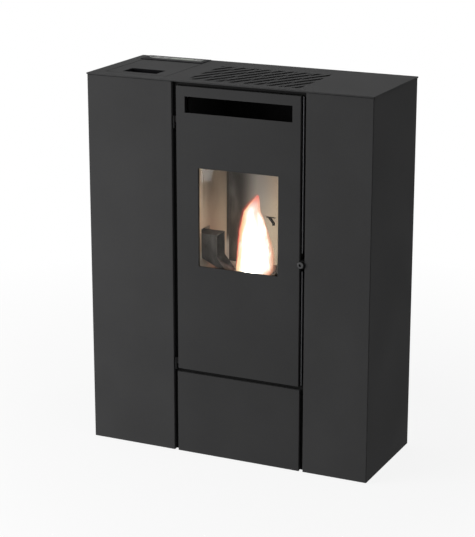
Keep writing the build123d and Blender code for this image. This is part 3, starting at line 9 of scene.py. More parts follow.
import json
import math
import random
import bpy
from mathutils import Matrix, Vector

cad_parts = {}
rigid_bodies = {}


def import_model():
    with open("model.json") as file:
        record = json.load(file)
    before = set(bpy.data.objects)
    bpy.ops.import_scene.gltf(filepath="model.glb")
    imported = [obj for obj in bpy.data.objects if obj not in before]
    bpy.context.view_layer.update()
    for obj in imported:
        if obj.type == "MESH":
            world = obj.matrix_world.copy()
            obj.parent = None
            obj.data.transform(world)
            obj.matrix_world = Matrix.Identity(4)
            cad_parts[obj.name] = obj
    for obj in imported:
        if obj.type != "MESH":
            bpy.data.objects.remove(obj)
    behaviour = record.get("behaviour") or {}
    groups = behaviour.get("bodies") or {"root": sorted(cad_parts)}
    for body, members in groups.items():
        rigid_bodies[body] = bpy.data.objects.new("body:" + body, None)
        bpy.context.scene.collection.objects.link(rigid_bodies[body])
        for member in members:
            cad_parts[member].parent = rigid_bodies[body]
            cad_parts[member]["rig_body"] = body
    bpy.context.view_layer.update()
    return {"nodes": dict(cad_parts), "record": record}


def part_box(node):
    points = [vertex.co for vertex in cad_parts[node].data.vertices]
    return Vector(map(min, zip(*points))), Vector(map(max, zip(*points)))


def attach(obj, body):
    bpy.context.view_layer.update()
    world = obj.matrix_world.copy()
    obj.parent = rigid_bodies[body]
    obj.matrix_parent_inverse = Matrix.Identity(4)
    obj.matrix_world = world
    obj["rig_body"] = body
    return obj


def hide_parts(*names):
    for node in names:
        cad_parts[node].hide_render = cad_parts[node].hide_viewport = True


bl_info = {
    "name": "Pellet stove",
    "version": (1, 0, 0),
    "blender": (4, 5, 0),
    "location": "3D View > Sidebar > Stove",
    "description": "Finishes, fire, fuel and fittings of a freestanding pellet stove",
    "category": "Object",
}

import bpy
from bpy.props import FloatProperty, FloatVectorProperty, IntProperty, PointerProperty
from mathutils import Vector, noise

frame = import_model()
OWN_FINISH = {"pellet_chute": "chute_steel"}    # parts that don't take their slot's finish
BLACK = (0.0, 0.0, 0.0, 1.0)
WHITE = (1.0, 1.0, 1.0, 1.0)


def rgb(name, description, default):
    """A linear RGB colour that a user can change."""
    return FloatVectorProperty(name=name, description=description, default=default,
                               subtype="COLOR", size=3, min=0.0, max=1.0)


def real(name, description, default, **limits):
    """A number that a user can change."""
    return FloatProperty(name=name, description=description, default=default, **limits)


def metres(name, description, default):
    """A length in metres."""
    return real(name, description, default, min=0.0, unit="LENGTH")


def watts(name, description, default):
    """A lamp's power."""
    return real(name, description, default, min=0.0, unit="POWER")


def fraction(name, description, default, least=0.0, most=1.0):
    """A share, with a slider."""
    return real(name, description, default, min=least, max=most, subtype="FACTOR")


def whole(name, description, default, most):
    """A whole number."""
    return IntProperty(name=name, description=description, default=default, min=0, max=most)


class CoatSettings(bpy.types.PropertyGroup):
    """Colours and gloss of the painted and bare metal"""

    casing: rgb("Casing", "Powder coat of the casing, top and lid", (0.050, 0.050, 0.0505))
    door: rgb("Door", "Powder coat of the fire door and lower cover", (0.044, 0.044, 0.0445))
    frame: rgb("Inner frame", "Matt black of the frame behind the door", (0.006, 0.006, 0.006))
    zinc: rgb("Galvanised sheet", "Sheet metal of the hopper, ducts and fans", (0.42, 0.43, 0.44))
    steel: rgb("Bare steel", "Feed screw, tubes and ash drawer", (0.33, 0.32, 0.31))
    iron: rgb("Cast iron", "Burn pot and hearth", (0.045, 0.042, 0.040))
    liner: rgb("Fire lining", "Pressed vermiculite boards", (0.62, 0.52, 0.40))
    # this colour darkens the lining as sooty marks and as painted shade
    soot_and_shade: rgb("Soot", "Where the smoke darkens the lining", (0.034, 0.032, 0.031))
    chute: rgb("Chute", "Heat-stained steel of the pellet chute", (0.085, 0.080, 0.076))
    roughness: fraction("Coat roughness", "Roughness of the satin powder coat", 0.64)
    peel: metres("Coat grain", "Size of the fine grain of the powder coat", 0.0016)


class FireSettings(bpy.types.PropertyGroup):
    """The flame, the glowing fuel and the pellets"""

    height: metres("Flame height", "From the burn pot's rim to the tip", 0.245)
    width: metres("Flame width", "Across the flame's foot", 0.117)
    depth: fraction("Flame depth", "Depth of the flame against its width", 0.68, 0.1, 1.5)
    core: rgb("Flame core", "Hottest part of the flame", (1.0, 0.97, 0.90))
    body: rgb("Flame body", "Yellow left of the flame", (1.0, 0.78, 0.42))
    veil: rgb("Flame veil", "Cream right of the flame", (1.0, 0.80, 0.66))
    flank: rgb("Flame flank", "Peach gas along the sides", (1.0, 0.46, 0.30))
    fringe: rgb("Flame fringe", "Red outermost edge", (0.80, 0.07, 0.05))
    tip: rgb("Flame tip", "Pink tip of the flame", (1.0, 0.26, 0.20))
    strength: real("Flame strength", "Light of the flame's core", 20.0, min=0.0)
    pellet_radius: metres("Pellet radius", "Half the thickness of a wood pellet", 0.0031)
    pellet_length: metres("Pellet length", "Mean length of a wood pellet", 0.018)
    wood: rgb("Pellet wood", "Pressed softwood", (0.50, 0.31, 0.15))
    hopper_pellets: whole("Hopper pellets", "Loose pellets on top of the fill", 640, 4000)
    pot_pellets: whole("Burning pellets", "Pellets that glow in the burn pot", 150, 1000)


class FittingSettings(bpy.types.PropertyGroup):
    """Door seal, display and key marks"""

    seal_strand: metres("Seal strand", "Thickness of a strand of the braided door seal", 0.0026)
    seal_pitch: metres("Seal pitch", "Length in which a strand winds round once", 0.026)
    display_value: whole("Display value", "Room temperature on the display", 21, 99)
    digit_height: metres("Digit height", "Height of the display's digits", 0.013)
    mark: rgb("Marks", "Printed key marks", (0.08, 0.08, 0.085))


class StudioSettings(bpy.types.PropertyGroup):
    """Floor, light and camera"""

    floor: rgb("Floor", "Pale studio floor", (0.86, 0.86, 0.86))
    floor_size: metres("Floor size", "Side of the floor", 60.0)
    near_glow: fraction("Floor whiteness", "Share of plain white near the stove, where the rest "
                        "shows its shadow", 0.88)
    shadow_reach: metres("Shadow reach", "How far from the stove the floor shows a shadow", 2.2)
    key_power: watts("Key power", "Large lamp at the front left", 120.0)
    top_power: watts("Top power", "Large lamp overhead", 20.0)
    fill_power: watts("Fill power", "Soft lamp at the right", 11.0)
    room_light: real("Room light", "Even light from all sides", 0.24, min=0.0)
    focal_length: real("Focal length", "Camera focal length in millimetres", 120.7, min=10.0,
                       subtype="DISTANCE_CAMERA")
    camera_place: FloatVectorProperty(name="Camera place", description="Where the camera stands",
                                      default=(2.180, -4.719, 2.050), size=3,
                                      subtype="TRANSLATION", unit="LENGTH")
    camera_down: real("Camera tilt", "How far the camera looks down, in degrees", 16.08, min=0.0,
                      max=90.0)
    camera_turn: real("Camera turn", "How far the camera looks to the left, in degrees", 25.24,
                      min=-180.0, max=180.0)


# ---- nodes ----

def rgba(colour, factor=1.0):
    """A colour socket's value, lightened or darkened by a factor."""
    return tuple(min(c * factor, 1.0) for c in colour) + (1.0,)


def shades(colour, *stops):
    """Ramp stops of one colour, from (position, lightness factor) pairs."""
    return [(position, rgba(colour, factor)) for position, factor in stops]


class Nodes:
    """Adds nodes to a shader tree."""

    def __init__(self, tree):
        self.tree = tree

    def add(self, kind, inputs=None, **settings):
        """Add a node, with values or links for its inputs, and return it."""
        made = self.tree.nodes.new("ShaderNode" + kind)
        for name, value in settings.items():
            setattr(made, name, value)
        for name, value in (inputs or {}).items():
            if isinstance(value, bpy.types.NodeSocket):
                self.tree.links.new(value, made.inputs[name])
            else:
                made.inputs[name].default_value = value
        return made

    def calculate(self, operation, *values, clamp=False):
        """A number worked out from other numbers or links."""
        return self.add("Math", dict(enumerate(values)), operation=operation,
                        use_clamp=clamp).outputs[0]

    def multiply(self, product, *factors):
        """The product of several numbers or links."""
        for factor in factors:
            product = self.calculate("MULTIPLY", product, factor)
        return product

    def spread(self, factor, low, high, start=0.3, end=0.7, **settings):
        """Pass from low to high while a factor goes from start to end."""
        return self.add("MapRange", {"Value": factor, "From Min": start, "From Max": end,
                                     "To Min": low, "To Max": high}, **settings).outputs[0]

    def ease(self, factor, start, end, low=0.0, high=1.0):
        """Pass smoothly from low to high while a factor goes from start to end."""
        return self.spread(factor, low, high, start, end, interpolation_type="SMOOTHSTEP")

    def blend(self, factor, stops):
        """Colours along a factor, as (position, colour) pairs."""
        made = self.add("ValToRGB", {"Fac": factor})
        ramp = made.color_ramp
        ramp.elements[0].position, ramp.elements[0].color = stops[0]
        ramp.elements[1].position, ramp.elements[1].color = stops[-1]
        for position, colour in stops[1:-1]:
            ramp.elements.new(position).color = colour
        return made.outputs["Color"]

    def blend_values(self, factor, stops):
        """Values along a factor, as (position, value) pairs."""
        return self.blend(factor, shades((1.0, 1.0, 1.0), *stops))

    def mix(self, factor, first, second):
        """The first colour, turning into the second as the factor rises."""
        return self.add("Mix", {"Factor": factor, "A": first, "B": second},
                        data_type="RGBA").outputs["Result"]

    def seen_directly(self):
        """1 where the camera, a reflection or a ray through glass sees a surface, else 0."""
        path = self.add("LightPath").outputs
        total = self.calculate("ADD", path["Is Camera Ray"], path["Is Glossy Ray"])
        return self.calculate("ADD", total, path["Is Transmission Ray"], clamp=True)


class Finish(Nodes):
    """A material in the making, whose patterns lie in the object's own coordinates."""

    def __init__(self, name, **values):
        self.material = bpy.data.materials.new(name)
        self.material.use_nodes = True
        super().__init__(self.material.node_tree)
        self.shader = self.tree.nodes["Principled BSDF"]
        for socket, value in values.items():
            self.shader.inputs[socket.replace("_", " ")].default_value = value
        self.place = self.add("TexCoord").outputs["Object"]

    def along_axes(self):
        """The place's X, Y and Z."""
        return self.add("SeparateXYZ", {"Vector": self.place}).outputs

    def grain(self, size, detail=2.0, stretch=None, distortion=0.0):
        """Noise whose features are about as large as size, stretched per axis if that is given."""
        place = self.place
        if stretch:
            place = self.add("Mapping", {"Vector": place, "Scale": stretch}).outputs[0]
        return self.add("TexNoise", {"Vector": place, "Scale": 1.0 / size, "Detail": detail,
                                     "Distortion": distortion}).outputs[0]

    def cells(self, scale, output="Distance"):
        """Cells like crystals or flakes, that many to a metre."""
        return self.add("TexVoronoi", {"Vector": self.place, "Scale": scale}).outputs[output]

    def cell_shade(self, scale):
        """One random value for each cell."""
        return self.add("SeparateColor", {"Color": self.cells(scale, "Color")}).outputs[0]

    def feed(self, value, socket):
        """Link a value to a socket of the shader."""
        self.tree.links.new(value, self.shader.inputs[socket])

    def paint(self, factor, stops, socket="Base Color"):
        """Colour the shader along a factor."""
        self.feed(self.blend(factor, stops), socket)

    def gloss(self, factor, *reach):
        """Vary the shader's roughness with a factor."""
        self.feed(self.spread(factor, *reach), "Roughness")

    def roughen(self, height, depth, strength):
        """Give the shader a bump of a depth in metres."""
        made = self.add("Bump", {"Height": height, "Distance": depth, "Strength": strength})
        self.feed(made.outputs[0], "Normal")


# ---- finishes ----

def powder_coat(name, colour, roughness, peel):
    """Satin powder coat: a fine even grain, faint clouds in colour and gloss."""
    made = Finish(name, Specular_IOR_Level=0.035)
    clouds = made.grain(0.22, 3.0)
    speck = made.grain(peel * 0.8, 1.0)
    mixed = made.spread(made.calculate("ADD", clouds, speck), 0.0, 1.0, 0.75, 1.25)
    made.paint(mixed, shades(colour, (0.0, 0.90), (1.0, 1.10)))
    made.gloss(clouds, roughness - 0.04, roughness + 0.04)
    made.roughen(made.grain(peel), 0.00006, 0.5)
    return made.material


def matt_black(name, colour):
    """Heat-proof matt black paint with a little dust."""
    made = Finish(name, Specular_IOR_Level=0.08)
    dust = made.grain(0.012, 4.0)
    made.paint(dust, shades(colour, (0.35, 0.8), (0.75, 1.8)))
    made.gloss(dust, 0.62, 0.78)
    made.roughen(made.grain(0.0012), 0.00005, 0.5)
    return made.material


def galvanised(name, colour):
    """Zinc-coated sheet with its crystal spangle."""
    made = Finish(name, Metallic=1.0)
    shade = made.cell_shade(85.0)
    both = made.multiply(shade, made.grain(0.003, 3.0, (1.0, 1.0, 0.2)))
    made.paint(both, shades(colour, (0.0, 0.78), (0.5, 1.05), (1.0, 1.3)))
    made.gloss(shade, 0.34, 0.52, 0.0, 1.0)
    made.roughen(both, 0.00004, 0.4)
    return made.material


def brushed_steel(name, colour, roughness=0.36, stretch=(1.0, 1.0, 0.03)):
    """Bare rolled steel with fine lines along one axis and light heat tint."""
    made = Finish(name, Metallic=1.0)
    lines = made.grain(0.0009, 3.0, stretch)
    tint = made.grain(0.07, 3.0)
    straw = rgba((colour[0] * 1.2, colour[1] * 1.14, colour[2] * 1.04))
    made.paint(made.multiply(lines, tint),
               shades(colour, (0.10, 0.75), (0.25, 1.0)) + [(0.45, straw)])
    made.gloss(tint, roughness - 0.06, roughness + 0.10)
    made.roughen(lines, 0.00003, 0.5)
    return made.material


def cast_iron(name, colour, ash, metal=0.4):
    """Sand-cast iron or scaled steel, dusted with pale ash in patches."""
    made = Finish(name, Metallic=metal, Specular_IOR_Level=0.2)
    dust = made.grain(0.03, 4.0, distortion=0.6)
    made.paint(dust, shades(colour, (0.35, 0.8), (0.58, 1.5)) + [(0.80, rgba(ash, 0.5))])
    made.gloss(dust, 0.60, 0.85)
    made.roughen(made.grain(0.0022, 5.0), 0.0006, 0.7)
    return made.material


# How the fire marks its lining, and where shade and light are painted on it. A mark changes
# along an axis from one place to another, each given as an edge and a distance from it in metres,
# and the last two values are its strength at both.
LINING_MARKS = {
    "side_board": ("X", "face", -0.0002, "face", 0.0008, 1.0, 0.0),
    "fireback": ("X", "face", -0.0002, "face", 0.0008, 0.0, 1.0),
    "back_dark_left": ("X", "face", 0.035, "face", 0.118, 0.92, 0.0),
    # painted shade on the side board: darker upwards, and only behind a strip at its front
    "side_shade_rising": ("Z", "foot", 0.08, "head", -0.04, 0.0, 0.50),
    "side_shade_inward": ("Y", "front", 0.016, "front", 0.034, 0.0, 1.0),
    # painted shadow in the corner where the side board meets the fireback
    "joint_shadow": ("Y", "joint", -0.018, "joint", -0.013, 0.0, 1.0),
    "film_beside_dark_left": ("X", "face", 0.100, "face", 0.175, 1.0, 0.0),
    "film_along_head": ("Z", "head", -0.100, "head", -0.050, 0.0, 0.9),
    "film_thins_rightward": ("X", "face", 0.160, "face", 0.230, 1.0, 0.3),
    "film_rising": ("Z", "foot", 0.10, "head", -0.12, 0.25, 1.0),
    "browned": ("Z", "foot", 0.06, "head", -0.06, 0.62, 0.12),
    # painted light on the side board's front, low down
    "painted_light_inward": ("Y", "front", 0.01, "front", 0.11, 0.9, 0.0),
    "painted_light_rising": ("Z", "foot", 0.08, "foot", 0.24, 1.0, 0.1),
    # pale ash on the side board's foot, made paler as painted light
    "foot_ash_and_painted_light": ("Z", "foot", 0.045, "foot", 0.085, 0.85, 0.0),
    "hook_before_face": ("Y", "back", -0.0012, "back", -0.0004, 1.0, 0.0),
    "hook_from": ("X", "face", 0.010, "face", 0.012, 0.0, 1.0),
    "hook_until": ("X", "middle", 0.170, "middle", 0.172, 1.0, 0.0),
}
FIREBACK_FACE = 0.078       # the fireback's front face, behind its hook
FILM_GREY = (0.57, 0.56, 0.54)
# colour of the painted light on the side board
PAINTED_LIGHT_BOARD = (0.92, 0.69, 0.50)
# pale ash, lightened as painted light
ASH_AND_PAINTED_LIGHT = (0.82, 0.79, 0.73)


def vermiculite(name, colour, soot_and_shade, iron):
    """Pressed vermiculite: flaky flecks, a fireback darker at its left and browned, painted shade
    and painted light on the side board, pale ash, an iron hook.
    """
    made = Finish(name, Specular_IOR_Level=0.1, Roughness=0.92)
    flecks = made.cells(420.0)
    board = made.blend(flecks, shades(colour, (0.05, 0.80), (0.35, 1.0), (0.75, 1.18)))
    axes = made.along_axes()
    (side_low, side_high), (back_low, back_high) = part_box("liner_left"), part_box("fireback")
    edges = {"face": side_high.x, "front": side_low.y, "joint": side_high.y,
             "foot": back_low.z, "head": back_high.z, "back": FIREBACK_FACE, "middle": 0.0}
    cloud = made.grain(0.06, 3.0, (1.0, 1.0, 0.4), 0.4)

    def mark(key):
        axis, start_edge, start, end_edge, end, at_start, at_end = LINING_MARKS[key]
        return made.ease(axes[axis], edges[start_edge] + start, edges[end_edge] + end,
                         at_start, at_end)

    on_side, on_back = mark("side_board"), mark("fireback")
    # the fireback is darker at its left, and browned above the flame
    back_dark_left = made.multiply(on_back, mark("back_dark_left"), made.ease(cloud, 0.3, 0.6, 0.80, 1.0))
    browned = made.multiply(on_back, mark("browned"))
    # painted shade greys the side board upwards, apart from a strip at its front
    side_shade = made.multiply(on_side, mark("side_shade_rising"), mark("side_shade_inward"),
                               made.ease(cloud, 0.3, 0.7, 0.85, 1.1))
    # the side board's painted shade, the fireback's dark left and its browning together
    smoke_and_shade = made.calculate("ADD", made.calculate("MAXIMUM", back_dark_left, browned), side_shade)
    # painted shadow in the corner by the fireback
    joint_shadow = made.multiply(on_side, mark("joint_shadow"))
    smoke_and_shade = made.calculate("MAXIMUM", smoke_and_shade, joint_shadow, clamp=True)
    # a thin sooty film greys the fireback beside the black part and along its head
    above = made.multiply(mark("film_along_head"), mark("film_thins_rightward"))
    film = made.calculate("MAXIMUM", mark("film_beside_dark_left"), above)
    film = made.multiply(on_back, film, mark("film_rising"))
    # painted light brightens the side board's front low down, and pale ash on its foot is made
    # paler as painted light
    warm = made.multiply(on_side, mark("painted_light_inward"), mark("painted_light_rising"))
    painted_light_and_ash = made.multiply(on_side, mark("foot_ash_and_painted_light"))
    hook = made.multiply(mark("hook_before_face"), mark("hook_from"), mark("hook_until"))
    for share, over in ((warm, PAINTED_LIGHT_BOARD), (film, FILM_GREY), (smoke_and_shade, soot_and_shade),
                        (painted_light_and_ash, ASH_AND_PAINTED_LIGHT), (hook, iron)):
        board = made.mix(share, board, rgba(over))
    made.feed(board, "Base Color")
    made.roughen(made.calculate("ADD", flecks, made.grain(0.010, 4.0)), 0.0005, 0.5)
    return made.material


def moulded(name, colour, roughness, texture, depth=0.00005, specular=0.5):
    """Moulded plastic or rubber with a fine eroded texture."""
    made = Finish(name, Specular_IOR_Level=specular)
    slow = made.grain(0.04)
    made.paint(slow, shades(colour, (0.3, 0.88), (0.7, 1.12)))
    made.gloss(slow, roughness - 0.05, roughness + 0.05)
    made.roughen(made.grain(texture, 3.0), depth, 0.6)
    return made.material


def clear_ceramic(name):
    """Clear ceramic fire glass with a faint warm tint."""
    made = Finish(name, Transmission_Weight=1.0, IOR=1.2)
    smear = made.grain(0.05, 3.0, (1.0, 1.0, 0.4))
    made.paint(smear, ((0.3, (1.0, 0.985, 0.955, 1.0)), (0.8, (0.93, 0.905, 0.87, 1.0))))
    made.gloss(smear, 0.0, 0.03)
    return made.material


def liquid_crystal(name):
    """The unlit field of a small reflective display under a glossy cover."""
    made = Finish(name, Roughness=0.35, Specular_IOR_Level=0.15)
    made.paint(made.grain(0.02), ((0.3, (0.22, 0.25, 0.20, 1.0)), (0.7, (0.28, 0.31, 0.25, 1.0))))
    return made.material


def glass_fibre(name, colour):
    """Dark glass-fibre yarn for the door seal."""
    made = Finish(name, Roughness=0.85, Specular_IOR_Level=0.2)
    yarn = made.grain(0.0006, 3.0)
    made.paint(made.multiply(yarn, made.grain(0.05, 3.0)),
               shades(colour, (0.12, 0.6), (0.25, 1.0), (0.42, 1.9)))
    made.roughen(yarn, 0.0003, 0.7)
    return made.material


def fire_finish(name, foot, height, width, tones, tip, density, light):
    """Glowing gas whose colour, light and density change across the flame and up to its tip."""
    made = Finish(name, Base_Color=BLACK, Roughness=1.0, Specular_IOR_Level=0.0)
    axes = made.along_axes()
    climb = made.spread(axes["Z"], 0.0, 1.0, foot.z, foot.z + height)
    half = made.blend_values(climb, [(t, h) for t, _, h in FLAME_OUTLINE])
    # a ramp holds no values below 0, so the lean is stored from 0.5 and moved back after it
    lean = made.blend_values(climb, [(t, m + 0.5) for t, m, _ in FLAME_OUTLINE])
    lean = made.calculate("MULTIPLY_ADD", lean, width / 2, foot.x - width / 4)
    offset = made.calculate("SUBTRACT", axes["X"], lean)
    across = made.calculate("DIVIDE", offset, made.multiply(half, width))
    licks = made.spread(made.grain(0.020, 3.0, (1.0, 1.0, 0.30), 0.8), 0.455, 0.545)
    across = made.calculate("ADD", across, licks)
    colours = made.blend(across, [(t, rgba(colour)) for t, colour, _ in tones])
    made.feed(made.mix(made.ease(climb, 0.82, 1.0), colours, rgba(tip)), "Emission Color")
    middle = made.blend_values(across, ((0.0, 0.0), (0.20, 0.0), (0.36, 0.1), (0.52, 1.0),
                                        (0.72, 0.1), (0.86, 0.0)))
    hot = made.multiply(middle, made.ease(climb, 0.90, 0.30))
    made.feed(made.spread(hot, 1.0, light, 0.0, 1.0), "Emission Strength")
    thick = made.blend_values(across, [(t, a) for t, _, a in tones])
    ends = made.spread(climb, density, density * 0.5, 0.90, 1.0)
    made.feed(made.multiply(thick, ends), "Alpha")
    return made.material


def ember_finish(name):
    """Charred wood with glowing cracks."""
    made = Finish(name, Roughness=0.95, Specular_IOR_Level=0.1, Emission_Strength=2.2)
    cracks = made.grain(0.006, 4.0, distortion=1.2)
    made.paint(cracks, ((0.40, (0.020, 0.018, 0.017, 1.0)), (0.70, (0.25, 0.22, 0.20, 1.0))))
    made.paint(cracks, ((0.38, (1.0, 0.42, 0.10, 1.0)), (0.50, (0.9, 0.12, 0.01, 1.0)),
                        (0.60, BLACK)), "Emission Color")
    made.roughen(cracks, 0.0006, 0.8)
    return made.material


def wood_finish(name, colour):
    """Pressed softwood: fine fibres, and no two pellets quite the same shade."""
    made = Finish(name, Roughness=0.7, Specular_IOR_Level=0.25)
    fibre = made.grain(0.0011, 3.0, (1.0, 0.5, 1.0))
    both = made.calculate("ADD", made.cell_shade(95.0), fibre)
    made.paint(made.spread(both, 0.0, 1.0, 0.3, 1.3),
               shades(colour, (0.0, 0.62), (0.5, 1.0), (1.0, 1.25)))
    made.roughen(fibre, 0.0003, 0.6)
    return made.material


def ash_finish(name):
    """Fine grey wood ash with dark char crumbs."""
    made = Finish(name, Roughness=0.97, Specular_IOR_Level=0.1)
    cloud = made.grain(0.02, 5.0)
    made.paint(made.multiply(made.cells(330.0), cloud),
               ((0.01, (0.08, 0.075, 0.070, 1.0)), (0.05, (0.34, 0.325, 0.30, 1.0)),
                (0.30, (0.62, 0.59, 0.55, 1.0))))
    made.roughen(cloud, 0.002, 0.7)
    return made.material


def make_finishes(coat):
    """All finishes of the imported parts, by material slot."""
    steel_ash, pot_ash, chute_ash_and_highlight = (0.20, 0.18, 0.16), (0.42, 0.39, 0.35), (0.46, 0.44, 0.42)
    upright = (1.0, 0.03, 1.0)
    recipes = {
        "casing_coat": (powder_coat, coat.casing, coat.roughness, coat.peel),
        "door_coat": (powder_coat, coat.door, coat.roughness - 0.06, coat.peel),
        "frame_coat": (matt_black, coat.frame),
        "zinc_steel": (galvanised, coat.zinc),
        "display": (liquid_crystal,),
        "ceramic_glass": (clear_ceramic,),
        "rope": (glass_fibre, (0.055, 0.054, 0.052)),
        "vermiculite": (vermiculite, coat.liner, coat.soot_and_shade, (0.018, 0.017, 0.016)),
        "firebox_steel": (cast_iron, (0.034, 0.031, 0.029), steel_ash, 0.1),
        "cast_iron": (cast_iron, coat.iron, pot_ash),
        # the chute's pale mottle is ash and painted highlight together
        "chute_steel": (cast_iron, coat.chute, chute_ash_and_highlight, 0.1),
        "bare_steel": (brushed_steel, coat.steel),
        "latch_steel": (brushed_steel, (0.045, 0.045, 0.046), 0.50, upright),
        # colour, roughness, size and depth of the texture, specular level
        "black_plastic": (moulded, (0.008, 0.008, 0.009), 0.60, 0.0006, 0.00005, 0.04),
        "panel_face": (moulded, (0.20, 0.205, 0.197), 0.45, 0.004, 0.00002, 0.08),
        "key_rubber": (moulded, (0.50, 0.50, 0.49), 0.55, 0.0008, 0.00005, 0.08),
        "silicone": (moulded, (0.050, 0.014, 0.010), 0.60, 0.0015, 0.0001, 0.15),
        "board_case": (moulded, (0.030, 0.034, 0.038), 0.45, 0.0012, 0.00005, 0.5),
        "foot_rubber": (moulded, (0.014, 0.014, 0.014), 0.75, 0.0010, 0.0001, 0.3),
    }
    return {slot: make(slot, *values) for slot, (make, *values) in recipes.items()}


# ---- meshes ----

def add_piece(name, shape, material, body, smooth=True):
    """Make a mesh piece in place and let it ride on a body."""
    vertices, faces = shape
    mesh = bpy.data.meshes.new(name)
    mesh.from_pydata([tuple(v) for v in vertices], [], faces)
    mesh.materials.append(material)
    mesh.polygons.foreach_set("use_smooth", [smooth] * len(mesh.polygons))
    mesh.update()
    made = bpy.data.objects.new(name, mesh)
    bpy.context.scene.collection.objects.link(made)
    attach(made, body)
    return made


def skin(rings, caps=True):
    """Vertices and faces of a skin over rings with equal numbers of points."""
    count = len(rings[0])
    vertices = [point for ring in rings for point in ring]
    faces = []
    for i in range(len(rings) - 1):
        for j in range(count):
            k = (j + 1) % count
            faces.append((i * count + j, i * count + k, (i + 1) * count + k, (i + 1) * count + j))
    if caps:
        faces.append(tuple(reversed(range(count))))
        faces.append(tuple(range((len(rings) - 1) * count, len(rings) * count)))
    return vertices, faces


def join_parts(parts):
    """One list of vertices and faces from several."""
    vertices, faces = [], []
    for part_vertices, part_faces in parts:
        start = len(vertices)
        vertices.extend(part_vertices)
        faces.extend(tuple(i + start for i in face) for face in part_faces)
    return vertices, faces


def angles(count):
    """Angles evenly spaced round a full turn."""
    return [math.tau * k / count for k in range(count)]


def ring_around(centre, side, up, radius, sides):
    """A ring of points round a centre, in the plane of two directions."""
    return [centre + radius * (math.cos(a) * side + math.sin(a) * up) for a in angles(sides)]


def smooth_value(stops, t):
    """A value along (position, value...) stops, eased from each stop to the next."""
    for low, high in zip(stops, stops[1:]):
        if t <= high[0]:
            share = (t - low[0]) / (high[0] - low[0])
            share = share * share * (3 - 2 * share) * 0.5 + share * 0.5
            return [a + (b - a) * share for a, b in zip(low[1:], high[1:])]
    return list(stops[-1][1:])


def closed_tube(points, radius, sides):
    """A round tube along a closed line of points, as rings for skin()."""
    rings = []
    for i, point in enumerate(points):
        along = (points[(i + 1) % len(points)] - points[i - 1]).normalized()
        side = along.cross(Vector((0.0, 1.0, 0.0)))
        if side.length < 0.1:
            side = along.cross(Vector((0.0, 0.0, 1.0)))
        side.normalize()
        rings.append(ring_around(point, side, side.cross(along), radius, sides))
    rings.append(rings[0])
    return rings


# Height along the flame, how far its middle leans, and its half width, both as shares of the
# flame's half width.
FLAME_OUTLINE = (
    (0.0, 0.0, 0.80), (0.045, 0.0, 0.97), (0.10, 0.0, 1.0), (0.25, -0.01, 0.97),
    (0.38, -0.035, 0.90), (0.51, -0.075, 0.80), (0.69, -0.10, 0.61), (0.79, -0.145, 0.46),
    (0.86, -0.04, 0.335), (0.92, 0.08, 0.22), (1.0, 0.21, 0.07))
FLAME_RINGS = 60
FLAME_SIDES = 48


def flame_sheet(foot, height, width, depth, lobes, seed):
    """A closed tongue of flame on a foot, with soft ridges that climb and twist."""
    rings = []
    for i in range(FLAME_RINGS + 1):
        t = i / FLAME_RINGS
        middle, half = smooth_value(FLAME_OUTLINE, t)
        x = foot.x + middle * width / 2
        y = foot.y + 0.10 * width * math.sin(3.0 * t + seed)
        ring = []
        for angle in angles(FLAME_SIDES):
            ripple = Vector((math.cos(angle) * 1.5, math.sin(angle) * 1.5, t * 6 + seed))
            ridge = (1 + lobes * math.sin(3 * angle + 5 * t + seed)
                     + 0.6 * lobes * math.sin(7 * angle - 9 * t + seed))
            ridge += 0.8 * lobes * noise.noise(ripple)
            ring.append(Vector((x + math.cos(angle) * half * ridge * width / 2,
                                y + math.sin(angle) * half * ridge * width * depth / 2,
                                foot.z + t * height)))
        rings.append(ring)
    return skin(rings)


PELLET_SIDES = 9
# place along a pellet, and its thickness there
PELLET_PROFILE = ((-0.5, 0.55), (-0.46, 0.95), (-0.30, 1.0), (0.30, 1.0), (0.46, 0.95), (0.5, 0.55))


def pellet(centre, along, length, radius):
    """One pellet with slightly rounded ends, as vertices and faces."""
    side = along.orthogonal().normalized()
    up = along.cross(side)
    return skin([ring_around(centre + along * (offset * length), side, up, radius * share,
                             PELLET_SIDES) for offset, share in PELLET_PROFILE])


def scatter_pellets(count, low, high, surface, radius, mean_length, chance, upright=0.25):
    """Pellets strewn over a surface, all inside a box."""
    parts = []
    for _ in range(count):
        length = mean_length * chance.uniform(0.6, 1.25)
        reach = length / 2 + radius
        x = chance.uniform(low.x + reach, high.x - reach)
        y = chance.uniform(low.y + reach, high.y - reach)
        z = surface(x, y) + radius * chance.uniform(0.3, 2.6)
        turn = chance.uniform(0, math.tau)
        rise = chance.uniform(-upright, upright)
        along = Vector((math.cos(turn), math.sin(turn), rise)).normalized()
        parts.append(pellet(Vector((x, y, min(z, high.z - reach))), along, length, radius))
    return join_parts(parts)


def heap(low, high, surface, steps):
    """A solid heap: a surface over a rectangle, with skirts down to the box's floor."""
    vertices, faces = [], []
    for j in range(steps + 1):
        for i in range(steps + 1):
            x = low.x + (high.x - low.x) * i / steps
            y = low.y + (high.y - low.y) * j / steps
            vertices.append(Vector((x, y, surface(x, y))))
    row = steps + 1
    for j in range(steps):
        for i in range(steps):
            a = j * row + i
            faces.append((a, a + 1, a + row + 1, a + row))
    rim = [*range(row), *(j * row + steps for j in range(1, row)),
           *(steps * row + i for i in range(steps - 1, -1, -1)),
           *(j * row for j in range(steps - 1, 0, -1))]
    start = len(vertices)
    vertices.extend(Vector((vertices[i].x, vertices[i].y, low.z)) for i in rim)
    for k in range(len(rim)):
        n = (k + 1) % len(rim)
        faces.append((rim[n], rim[k], start + k, start + n))
    faces.append(tuple(range(start + len(rim) - 1, start - 1, -1)))
    return vertices, faces


def plate_part(outline, low_z, high_z):
    """A flat plate from an outline of (x, y) points."""
    return skin([[Vector((x, y, z)) for x, y in outline] for z in (low_z, high_z)])


